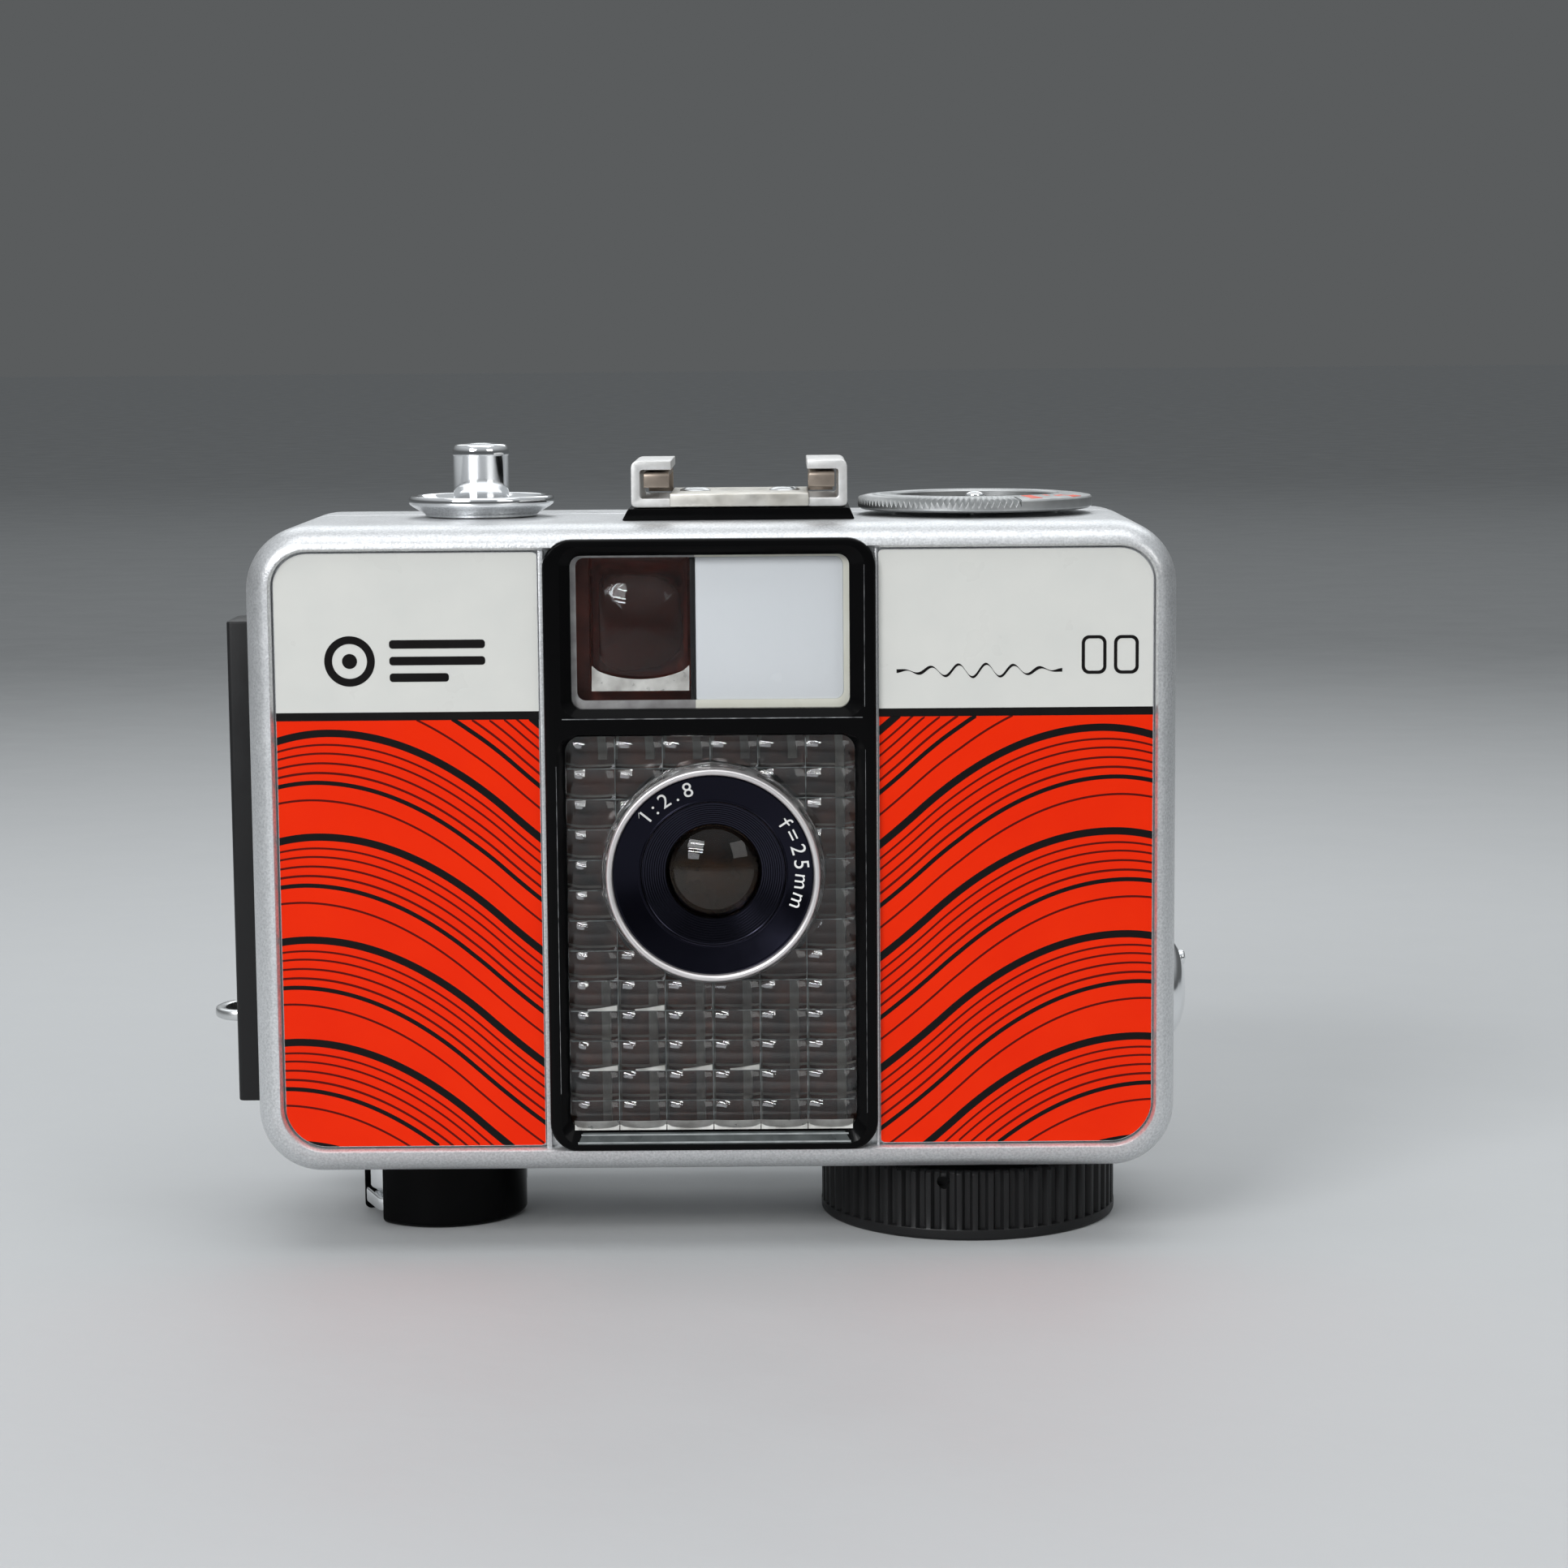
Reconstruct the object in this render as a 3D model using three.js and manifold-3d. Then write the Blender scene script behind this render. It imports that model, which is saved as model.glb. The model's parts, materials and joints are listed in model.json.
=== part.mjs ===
// Half frame 35 mm camera with a spring motor: a silver shell, two decorated front panels, a black
// bezel with finder windows and a prismatic meter window round the lens, a shoe, a release button and
// a dial on top, a winder knob and a rewind crank below, and a hinged back.
//
// Millimetres. X runs across the camera, the front faces -Y and Z is up. Pieces are laid out from the
// middle of the body's underside in the plane of the front panels; the last lines move the whole
// camera so that its origin is at the middle of its bounding box, on the plane that it stands on.

import * as THREE from "three";
import { mergeVertices } from "three/addons/utils/BufferGeometryUtils.js";
import Module from "manifold-3d";

const wasm = await Module();
wasm.setup();

// ---- Driving dimensions --------------------------------------------------------------------

const FIT = 0.3; // running clearance between pieces that move or nest
const REST = 0.1; // gap between faces that rest on each other

const BODY = { halfWidth: 43.5, height: 61.4, front: -0.6, back: 32.9, corner: 6, wall: 1.1, edge: 2.2 };
const COVER_END = 21; // the fixed shell ends here and the back begins a gap further on
const FRONT_WALL = 1.8; // inner face of the shell's front wall

const PANEL = { left: -40.6, right: 41.1, bottom: 2.85, top: 58.95, inner: 15.95, thick: 0.5 };
const BEZEL = { left: -15.6, right: 15.3, bottom: 2.4, top: 60.1, corner: 2.7, front: -1, back: 2.2 };
const UPPER = { left: -13.1, right: 12.9, bottom: 44.2, top: 58.6, corner: 1.2 };
const LOWER = { left: -13.75, right: 13.35, bottom: 3.2, top: 41.8, corner: 1.6 };
const WINDOW_SPLIT = -1.47; // the finder's glass is left of this, the white light window right

const LENS_Z = 28.85; // height of the optical axis
const LENS_RING_R = 10;
const LENS_FRONT = -2.5;
const BLADE_PIVOT = 7.2; // the shutter blades turn this far left and right of the optical axis
const MID_Y = 17; // the knobs, shafts, button, dial, lug and latch lie in this plane

const WINDER = { x: 24.6, r: 14.5, bottom: -7.4, top: -0.6, ribs: 44 };
const REWIND = { x: -27.3, r: 8.1, bottom: -7.4, top: -0.6, turn: 202 };
const BUTTON = { x: -22.5, capR: 2.8, r: 2.58, top: 68.5 };
const DIAL = { x: 25.4, r: 11.35, innerR: 8, grooves: 24, from: 130, to: 380 };
const SHOE = { x: 2.8, halfWidth: 10.2, lip: 3.8, wall: 0.93, front: 6.8, back: 20.5, bottom: 62.6, top: 67 };
const SHOE_SCREWS = [[SHOE.x - 4.3, 13.6], [SHOE.x + 4.3, 13.6]];
const LENSLET = { columns: 6, rows: 14, pitchX: 4.44, pitchZ: 2.82, left: -13.3, top: 41.4 };
const METER = { x: 18.4, y: 7.6 };
const LATCH = { z: 14.5, r: 5.15, out: 46.2 };
const SIDE_PLATE = { out: -46.8, in: -43.8, front: 11.4, back: 19.2, bottom: 4.9, top: 51.8 };
const HINGE = { x: -45.4, y: 21.2, r: 1.5, boreR: 1, pinR: 0.7 };
const KNUCKLES = { fixed: [[5, 14], [24, 33], [43, 51.6]], door: [[14.3, 23.7], [33.3, 42.7]] };
const LUG_OUT = -49.4;
const LUG_Z = [12.7, 13.7];

const EYEPIECE = { left: -12.4, right: -2, bottom: 47.2, top: 56.6, corner: 1.4 };
const COVERING = { left: -39.6, right: 39.6, bottom: 3.8, top: 57.6, corner: 3 };
const COVERING_PROUD = 0.2; // the back's covering stands this far out of its recess

const CARTRIDGE_R = 13.1; // chamber for a 25 mm film cartridge
const TAKE_UP_R = 11.6;
const CHAMBER = { bottom: 5.4, top: 53 };
const FILM_Y = 26; // face of the film rails
const GATE = { halfWidth: 8.5, halfHeight: 12 }; // half frame picture, 17 x 24

const SPROCKET = { x: 13.2, y: 22.2, r: 3.8 };
const MODULE = 0.5; // gear tooth size
const TEETH = { spool: 24, idler: 16, sprocket: 12 };
const GEAR_Z = [1.5, 3.6];

const TRIPOD = { x: -4.5, y: 15, boreR: 3.2, r: 5 };
const COUNTER = { x: -13.4, y: 8, r: 3.1 };
const CLUTCH = { x: 5.2, y: 7.5, r: 1.8 };

// The crank as it lies folded; u runs from the rewind knob's centre out through the slot's mouth.
const CRANK = { pivotU: -3.4, z0: -6.4, z1: -4.9, halfWidth: 2.9, gripU: 5.1 };

// ---- Solid helpers -------------------------------------------------------------------------

const X = new THREE.Vector3(1, 0, 0);
const Y = new THREE.Vector3(0, 1, 0);
const Z = new THREE.Vector3(0, 0, 1);
const backwards = (v) => v.clone().negate();

// How a flat outline's x, y and depth lie when it is extruded along each axis.
const PRISM_TURN = {
  x: new THREE.Matrix4().makeBasis(Y, Z, X),
  y: new THREE.Matrix4().makeBasis(X, Z, backwards(Y)),
  z: new THREE.Matrix4(),
};

// How a turned profile's radius and height lie when it is turned about each axis.
const LATHE_TURN = {
  x: new THREE.Matrix4().makeBasis(Y, X, backwards(Z)),
  y: new THREE.Matrix4(),
  z: new THREE.Matrix4().makeBasis(X, Z, backwards(Y)),
};

function signedVolume(points, corners) {
  const [a, b, c] = [new THREE.Vector3(), new THREE.Vector3(), new THREE.Vector3()];
  let sum = 0;
  for (let i = 0; i < corners.length; i += 3) {
    a.fromArray(points, 3 * corners[i]);
    b.fromArray(points, 3 * corners[i + 1]);
    c.fromArray(points, 3 * corners[i + 2]);
    sum += a.dot(b.cross(c)) / 6;
  }
  return sum;
}

// A closed geometry as a solid that can be joined and cut, with its faces pointing out.
function solidFrom(geometry) {
  const bare = geometry.clone();
  bare.deleteAttribute("normal");
  bare.deleteAttribute("uv");
  const welded = mergeVertices(bare, 1e-4);
  const points = Float32Array.from(welded.attributes.position.array);
  const corners = [];
  for (let i = 0; i < welded.index.count; i += 3) {
    const [a, b, c] = [0, 1, 2].map((k) => welded.index.getX(i + k));
    if (a !== b && b !== c && c !== a) corners.push(a, b, c);
  }
  if (signedVolume(points, corners) < 0) corners.reverse();
  return new wasm.Manifold(
    new wasm.Mesh({ numProp: 3, vertProperties: points, triVerts: Uint32Array.from(corners) }),
  );
}

function geometryFrom(solid) {
  const mesh = solid.getMesh();
  const geometry = new THREE.BufferGeometry();
  geometry.setAttribute("position", new THREE.BufferAttribute(mesh.vertProperties, 3));
  geometry.setIndex(new THREE.BufferAttribute(mesh.triVerts, 1));
  geometry.computeVertexNormals();
  return geometry;
}

const join = (first, ...rest) => rest.reduce((sum, solid) => sum.add(solid), first);
const cut = (first, ...rest) => rest.reduce((left, solid) => left.subtract(solid), first);

function box(x0, x1, y0, y1, z0, z1) {
  const geometry = new THREE.BoxGeometry(x1 - x0, y1 - y0, z1 - z0);
  return solidFrom(geometry.translate((x0 + x1) / 2, (y0 + y1) / 2, (z0 + z1) / 2));
}

// A flat outline extruded from one station to another along an axis.
function prism(axis, outline, from, to, steps = 2) {
  const options = { depth: to - from, bevelEnabled: false, curveSegments: steps };
  const geometry = new THREE.ExtrudeGeometry(outline, options);
  geometry.translate(0, 0, axis === "y" ? -to : from);
  return solidFrom(geometry.applyMatrix4(PRISM_TURN[axis]));
}

// The same with its long edges rounded off at both ends.
function roundedPrism(outline, from, to, edge, depth, steps) {
  const geometry = new THREE.ExtrudeGeometry(outline, {
    depth: to - from - 2 * depth,
    bevelThickness: depth,
    bevelSize: edge,
    bevelOffset: -edge,
    bevelSegments: steps,
    curveSegments: 3,
  });
  geometry.translate(0, 0, depth - to);
  return solidFrom(geometry.applyMatrix4(PRISM_TURN.y));
}

// A profile of [radius, station] points turned about an axis through a centre.
function turned(axis, profile, centre = [0, 0, 0], sides = 20) {
  const points = profile.map(([r, s]) => new THREE.Vector2(r, s));
  if (profile[0][0] > 0) points.push(points[0].clone());
  const geometry = new THREE.LatheGeometry(points, sides).applyMatrix4(LATHE_TURN[axis]);
  return solidFrom(geometry.translate(...centre));
}

function rod(axis, centre, r, from, to, sides = 12) {
  return turned(axis, [[0, from], [r, from], [r, to], [0, to]], centre, sides);
}

function roundedRect({ left, right, bottom, top, corner = 0, innerCorner = corner, inner = null }, grow = 0) {
  const [x0, x1, y0, y1] = [left - grow, right + grow, bottom - grow, top + grow];
  const leftR = Math.max((inner === "left" ? innerCorner : corner) + grow, 0.05);
  const rightR = Math.max((inner === "right" ? innerCorner : corner) + grow, 0.05);
  const quarter = Math.PI / 2;
  const outline = new THREE.Shape();
  outline.absarc(x1 - rightR, y0 + rightR, rightR, -quarter, 0);
  outline.absarc(x1 - rightR, y1 - rightR, rightR, 0, quarter);
  outline.absarc(x0 + leftR, y1 - leftR, leftR, quarter, 2 * quarter);
  outline.absarc(x0 + leftR, y0 + leftR, leftR, 2 * quarter, 3 * quarter);
  return outline;
}

const polygon = (points) => new THREE.Shape(points.map(([x, y]) => new THREE.Vector2(x, y)));

// A straight-sided funnel between two upright rectangles about an axis along Y.
function funnel(front, back) {
  const ring = ({ y, halfWidth, halfHeight }) => [
    [-halfWidth, y, LENS_Z - halfHeight],
    [halfWidth, y, LENS_Z - halfHeight],
    [halfWidth, y, LENS_Z + halfHeight],
    [-halfWidth, y, LENS_Z + halfHeight],
  ];
  const geometry = new THREE.BufferGeometry();
  const points = [...ring(front), ...ring(back)].flat();
  geometry.setAttribute("position", new THREE.BufferAttribute(Float32Array.from(points), 3));
  const faces = [0, 1, 2, 0, 2, 3, 4, 6, 5, 4, 7, 6];
  for (let i = 0; i < 4; i += 1) {
    const next = (i + 1) % 4;
    faces.push(i, i + 4, next, next, i + 4, next + 4);
  }
  geometry.setIndex(faces);
  return solidFrom(geometry);
}

// ---- Shells, panels and back ---------------------------------------------------------------

const BODY_OUTLINE = {
  left: -BODY.halfWidth, right: BODY.halfWidth, bottom: 0, top: BODY.height, corner: BODY.corner,
};

// Fixed silver shell: rounded front rim, a shallow recess for the panels and a wide opening for the bezel.
function frontCover() {
  const outer = roundedPrism(roundedRect(BODY_OUTLINE), BODY.front, COVER_END + 6, BODY.edge, 2.4, 2);
  const recess = { ...PANEL, corner: 3.4 };
  return cut(
    outer,
    box(-50, 50, COVER_END, COVER_END + 9, -5, 70),
    prism("y", roundedRect(BODY_OUTLINE, -BODY.wall), FRONT_WALL, COVER_END + 1, 3),
    prism("y", roundedRect(recess, FIT), -3, PANEL.thick + REST),
    prism("y", roundedRect(BEZEL, FIT), -3, FRONT_WALL + 1),
    rod("z", [REWIND.x, MID_Y, 0], 2.6, -1, 2),
    rod("z", [WINDER.x, MID_Y, 0], 2.6, -1, 2),
    rod("z", [TRIPOD.x, TRIPOD.y, 0], TRIPOD.r + FIT, -1, 2),
    rod("z", [COUNTER.x, COUNTER.y, 0], COUNTER.r + FIT, -1, 2),
    rod("z", [CLUTCH.x, CLUTCH.y, 0], CLUTCH.r + FIT, -1, 2),
    ...SHOE_SCREWS.map(([x, y]) => rod("z", [x, y, 0], 1.2, 60, 63)),
    rod("z", [BUTTON.x, MID_Y, 0], BUTTON.capR + FIT, 60, 62),
    rod("z", [DIAL.x, MID_Y, 0], 1.9, 60, 62),
    rod("x", [0, MID_Y, LATCH.z], 2.1, 42, 44),
  );
}

// Thin printed sheet in the shell's recess, on the left or the right of the bezel.
function panel(side) {
  const left = side === "left";
  const outline = {
    left: left ? PANEL.left : PANEL.inner - 0.5,
    right: left ? -PANEL.inner : PANEL.right,
    bottom: PANEL.bottom,
    top: PANEL.top,
    corner: 3.2,
    innerCorner: 0.5,
    inner: left ? "right" : "left",
  };
  return prism("y", roundedRect(outline), 0, PANEL.thick);
}

// Gloss black frame with a finder opening over a meter opening.
function frontBezel() {
  const outer = roundedPrism(roundedRect(BEZEL), BEZEL.front, BEZEL.back, 0.6, 0.5, 1);
  return cut(
    outer,
    prism("y", roundedRect(UPPER), -3, 4),
    prism("y", roundedRect(LOWER), -3, 4),
  );
}

// Silver back with a rounded rear edge, a recess for its covering, a hole for the eyepiece and, inside
// its right wall, the keeper that the latch faces.
function backDoor() {
  const start = COVER_END + FIT;
  const outer = roundedPrism(roundedRect(BODY_OUTLINE), start - 6, BODY.back, BODY.edge, 2.4, 2);
  const shell = cut(
    outer,
    box(-50, 50, start - 9, start, -5, 70),
    prism("y", roundedRect(BODY_OUTLINE, -BODY.wall), start - 1, BODY.back - 1.9, 3),
    prism("y", roundedRect(COVERING, FIT), BODY.back - 0.6, BODY.back + 1),
    prism("y", roundedRect(EYEPIECE, 0.5), start, BODY.back + 1),
  );
  return join(shell, box(41.2, 42.8, start + FIT, start + 5, LATCH.z - 3, LATCH.z + 3));
}

function doorCovering() {
  const sheet = prism("y", roundedRect(COVERING), BODY.back - 0.5, BODY.back + COVERING_PROUD);
  return cut(sheet, prism("y", roundedRect(EYEPIECE, 1.3), BODY.back - 1, BODY.back + 1));
}

// ---- Hinge, lug and latch ------------------------------------------------------------------

// Hinge leaf on the camera's left side with its knuckles, bored for the pin. The other leaf's
// knuckles turn in its notches.
function hingeLeaf(plate, spans, others) {
  const barrels = spans.map(([from, to]) => rod("z", [HINGE.x, HINGE.y, 0], HINGE.r, from, to, 12));
  const reach = HINGE.r + FIT;
  const notches = others.map(([from, to]) =>
    box(-50, -40, HINGE.y - reach, HINGE.y + reach, from - 0.2, to + 0.2));
  const bore = rod("z", [HINGE.x, HINGE.y, 0], HINGE.boreR, 0, 60, 12);
  return cut(join(cut(plate, ...notches), ...barrels), bore);
}

const leafPlate = (front, back) =>
  box(-44.6, SIDE_PLATE.in, front, back, SIDE_PLATE.bottom + 0.4, SIDE_PLATE.top - 0.4);

const doorLeaf = () =>
  hingeLeaf(leafPlate(HINGE.y + FIT, 29.5), KNUCKLES.door, KNUCKLES.fixed);

const hingePin = () => rod("z", [HINGE.x, HINGE.y, 0], HINGE.pinR, 5.2, 51.4, 12);

// Black side strip that carries the fixed knuckles, with a slot that the strap lug passes through.
function sidePlate() {
  const { out, in: inside, front, back, bottom, top } = SIDE_PLATE;
  const outline = { left: out, right: inside, bottom: front, top: back, corner: 0.5 };
  const slot = box(out - 1, inside + 1, front + 0.4, back - 0.2, LUG_Z[0] - FIT, LUG_Z[1] + FIT);
  const strip = join(prism("z", roundedRect(outline), bottom, top, 3), leafPlate(back - 1, HINGE.y));
  return cut(hingeLeaf(strip, KNUCKLES.fixed, KNUCKLES.door), slot);
}

// Flat D-shaped loop for a wrist strap.
function strapLug() {
  const halfDepth = 3.4;
  const middle = (SIDE_PLATE.front + SIDE_PLATE.back) / 2;
  const outline = new THREE.Shape();
  outline.moveTo(SIDE_PLATE.in, middle - halfDepth);
  outline.lineTo(SIDE_PLATE.in, middle + halfDepth);
  const reach = halfDepth - 0.6;
  const bend = LUG_OUT + reach;
  outline.lineTo(bend, middle + halfDepth);
  outline.absellipse(bend, middle, reach, halfDepth, Math.PI / 2, 1.5 * Math.PI, false, 0);
  const eye = new THREE.Path();
  eye.absellipse(bend, middle, reach - 1, halfDepth - 1, 0, 2 * Math.PI, true, 0);
  outline.holes.push(eye);
  return prism("z", outline, ...LUG_Z, 10);
}

// Domed round key on the right side with an index nub; its shaft ends in a cam whose nose stops just
// short of the keeper on the back.
function latchKnob() {
  const face = BODY.halfWidth + REST;
  const dome = turned("x", [
    [0, 41.3], [3.2, 41.3], [3.2, 42.1], [1.8, 42.1], [1.8, face], [LATCH.r, face], [LATCH.r, face + 0.7],
    [4.3, face + 1.6], [2.9, LATCH.out - 0.35], [0, LATCH.out],
  ], [0, MID_Y, LATCH.z], 20);
  const nub = rod("x", [0, MID_Y, LATCH.z + 2.9], 0.6, face, LATCH.out, 12);
  const nose = box(41.3, 42.1, MID_Y, MID_Y + 4, LATCH.z - 1, LATCH.z + 1);
  return join(dome, nub, nose);
}

// ---- Body casting --------------------------------------------------------------------------

// Film chamber that opens backwards: a half-round trough with straight sides behind it.
function chamber(x, r) {
  const trough = rod("z", [x, MID_Y, 0], r, CHAMBER.bottom, CHAMBER.top, 24);
  return join(trough, box(x - r, x + r, MID_Y, FILM_Y + 9, CHAMBER.bottom, CHAMBER.top));
}

// Die casting: cartridge chamber, light funnel with the film gate, take-up chamber, lens bore and,
// under its floor, the idler gear's post.
function bodyCasting() {
  const block = box(-41.9, 40.7, 2.8, FILM_Y, 4, 54.2);
  const casting = cut(
    block,
    chamber(REWIND.x, CARTRIDGE_R),
    chamber(WINDER.x, TAKE_UP_R),
    join(
      rod("z", [SPROCKET.x, SPROCKET.y, 0], 4.3, CHAMBER.bottom, CHAMBER.top),
      box(9.6, 18, SPROCKET.y, FILM_Y + 9, CHAMBER.bottom, CHAMBER.top),
    ),
    funnel(
      { y: 10, halfWidth: 5.8, halfHeight: 7.2 },
      { y: FILM_Y + 1, halfWidth: GATE.halfWidth, halfHeight: GATE.halfHeight },
    ),
    rod("y", [0, 0, LENS_Z], 10.4, 0, 12.6, 24),
    box(-16, 15.7, 0, 5, 0, 70),
    box(-16, 15.7, 0, 20, 43.6, 70),
    box(-16, 15.7, 19, 40, 46.8, 70),
    rod("z", [REWIND.x, MID_Y, 0], 2.3, 3, 56),
    rod("z", [WINDER.x, MID_Y, 0], 3.3, 3, 6),
    rod("z", [WINDER.x, MID_Y, 0], 2.1, 52, 56),
    rod("z", [SPROCKET.x, SPROCKET.y, 0], 1.8, 3, 56, 16),
    rod("z", [TRIPOD.x, TRIPOD.y, 0], TRIPOD.r + FIT, 3, 9),
    rod("z", [COUNTER.x, COUNTER.y, 0], 1.3, 3, 9, 16),
    rod("z", [CLUTCH.x, CLUTCH.y, 0], CLUTCH.r + FIT, 3, 9),
  );
  return join(casting, rod("z", [train.idler.x, train.idler.y, 0], 0.7, 1.7, 4.2, 12));
}

// ---- Finder --------------------------------------------------------------------------------

// Clear sheet with bevelled edges that covers both finder windows.
function windowGlazing() {
  return roundedPrism(roundedRect(UPPER, -0.15), -0.5, 0.7, 0.5, 0.4, 1);
}

// White diffuser that lights the bright frame.
const frameLightWindow = () =>
  prism("y", roundedRect({ left: WINDOW_SPLIT, right: 12.6, bottom: 44.5, top: 58.3, corner: 0.8 }), 0.9, 1.8);

// Plano-concave front lens with a dished rear face.
function finderFrontLens() {
  const outline = { left: -11.3, right: -1.75, bottom: 45.7, top: 58.4, corner: 0.4 };
  const dish = solidFrom(new THREE.SphereGeometry(9, 20, 12).translate(-6.5, 11.2, 52));
  return cut(prism("y", roundedRect(outline), 1, 3.6, 3), dish);
}

// Black housing behind the windows: a through passage for the eye and a bay for the frame mask.
function finderHousing() {
  const shell = box(-13.4, 13, 4, 17.9, 44.2, 59.2);
  return cut(
    shell,
    box(-12.3, -1.9, 0, 30, 45.4, 58.2),
    box(-1.1, 11.9, 0, 16.9, 45.4, 58.2),
    box(-3, 0, 10, 16, 46.5, 57),
  );
}

// Half-silvered plate that stands at 45 degrees across the eye's passage.
const beamSplitter = () =>
  box(-5.8, 5.8, -0.3, 0.3, 47, 56.6).rotate([0, 0, 45]).translate([-7.1, 13.5, 0]);

// Opaque mask whose cut lines throw the bright frame.
function frameMask() {
  const plate = box(-0.7, 11.5, 6, 6.4, 45.7, 57.9);
  const slots = [46.7, 55.9].map((z) => box(1.2, 9.6, 5, 7, z, z + 0.8));
  return cut(plate, ...slots);
}

// Rear tube of the finder, seen through the hole in the back.
function eyepieceFrame() {
  const outer = prism("y", roundedRect(EYEPIECE), 20, BODY.back - 0.9, 4);
  return cut(outer, prism("y", roundedRect(EYEPIECE, -1), 19, 40, 4));
}

const eyepieceLens = () => prism("y", roundedRect(EYEPIECE, -1.3), 28.6, 30.4, 4);

// ---- Meter ---------------------------------------------------------------------------------

// Closed slab whose front is a grid of shallow four-sided pillows.
function pillowSlab(columns, rows, edgeY, crestY, backY) {
  const points = [];
  const faces = [];
  const across = columns + 1;
  const corner = (i, j) => j * across + i;
  for (let j = 0; j <= rows; j += 1) {
    for (let i = 0; i <= columns; i += 1) {
      points.push([LENSLET.left + i * LENSLET.pitchX, edgeY, LENSLET.top - j * LENSLET.pitchZ]);
    }
  }
  for (let j = 0; j < rows; j += 1) {
    for (let i = 0; i < columns; i += 1) {
      const ring = [corner(i, j), corner(i, j + 1), corner(i + 1, j + 1), corner(i + 1, j)];
      const x = LENSLET.left + (i + 0.5) * LENSLET.pitchX;
      const z = LENSLET.top - (j + 0.5) * LENSLET.pitchZ;
      ring.forEach((from, k) => faces.push(from, ring[(k + 1) % 4], points.length));
      points.push([x, crestY, z]);
    }
  }
  const border = [];
  for (let i = 0; i < columns; i += 1) border.push(corner(i, 0));
  for (let j = 0; j < rows; j += 1) border.push(corner(columns, j));
  for (let i = columns; i > 0; i -= 1) border.push(corner(i, rows));
  for (let j = rows; j > 0; j -= 1) border.push(corner(0, j));
  const firstBack = points.length;
  for (const from of border) points.push([points[from][0], backY, points[from][2]]);
  const hub = points.length;
  points.push([0, backY, LENSLET.top - (rows * LENSLET.pitchZ) / 2]);
  border.forEach((from, k) => {
    const next = (k + 1) % border.length;
    faces.push(from, border[next], firstBack + next, from, firstBack + next, firstBack + k);
    faces.push(firstBack + k, firstBack + next, hub);
  });
  const geometry = new THREE.BufferGeometry();
  geometry.setAttribute("position", new THREE.BufferAttribute(Float32Array.from(points.flat()), 3));
  geometry.setIndex(faces);
  return solidFrom(geometry);
}

// Clear meter window: pillow lenslets in front, a smooth border, and a round hole for the lens.
function prismWindow() {
  const outline = prism("y", roundedRect(LOWER, -FIT), -2, 4);
  const slab = pillowSlab(LENSLET.columns, LENSLET.rows, -0.35, -0.75, 1.7);
  const border = prism("y", roundedRect(LOWER, -FIT), 0.2, 1.7);
  return cut(join(slab.intersect(outline), border), rod("y", [0, 0, LENS_Z], LENS_RING_R + FIT, -3, 5, 28));
}

// Light-sensitive plate behind the lenslets.
function seleniumCell() {
  const plate = box(-13, 12.6, 2, 2.6, 4, 41);
  return cut(plate, rod("y", [0, 0, LENS_Z], LENS_RING_R + 0.8, 0, 5, 20));
}

const meterMovement = () => join(
  rod("z", [METER.x, METER.y, 0], 4.2, 54.4, 58.6, 20),
  rod("z", [METER.x, METER.y, 0], 1.4, 58.5, 59, 12),
);

const meterNeedle = () => join(
  rod("z", [METER.x, METER.y, 0], 0.9, 59.2, 59.8, 12),
  box(METER.x, METER.x + 9, METER.y - 0.25, METER.y + 0.25, 59.3, 59.7),
);

// ---- Lens and shutter ----------------------------------------------------------------------

const onAxis = (profile, sides = 22) => turned("y", profile, [0, 0, LENS_Z], sides);

const lensRing = () => onAxis([
  [9.35, -2.2], [9.55, -2.5], [9.85, -2.5], [LENS_RING_R, -2.3], [LENS_RING_R, 4.6], [9.35, 4.6],
]);

const nameRing = () => onAxis([[6.75, -1], [9.05, -1.75], [9.05, -0.4], [6.75, -0.2]]);

// Stepped cone round the front glass, continued backwards as the tube that holds the glasses.
function lensCell() {
  const steps = 3;
  const profile = [];
  for (let i = 0; i < steps; i += 1) {
    const r = 6.5 - i * 0.62;
    const y = -0.9 + i * 0.4;
    profile.push([r, y], [r - 0.54, y + 0.14]);
  }
  profile.push([4.55, 0.4], [4.55, 6.9], [6.5, 6.9]);
  return onAxis(profile);
}

const frontElement = () => onAxis([
  [0, -0.8], [1.4, -0.65], [2.7, -0.25], [3.7, 0.35], [4.2, 0.8], [4.2, 1.6], [2.4, 1.1], [0, 0.9],
], 20);

const middleElement = () => onAxis([[0, 3.5], [4.2, 2.9], [4.2, 4.3], [0, 3.9]], 20);

const rearElement = () => onAxis([[0, 5], [4.2, 5.5], [4.2, 6.2], [2.2, 6.6], [0, 6.7]], 20);

const lensBarrel = () => onAxis([[6.8, 0.2], [9, 0.2], [9, 8.6], [5.4, 8.6], [5.4, 7.3], [6.8, 7.3]]);

// Round plate with the two pins that the blades turn on.
const shutterPlate = () => join(
  onAxis([[3, 9], [9.8, 9], [9.8, 9.8], [3, 9.8]]),
  ...[-1, 1].map((side) => rod("y", [side * BLADE_PIVOT, 0, LENS_Z], 0.25, 9.6, 11.1, 8)),
);

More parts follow.
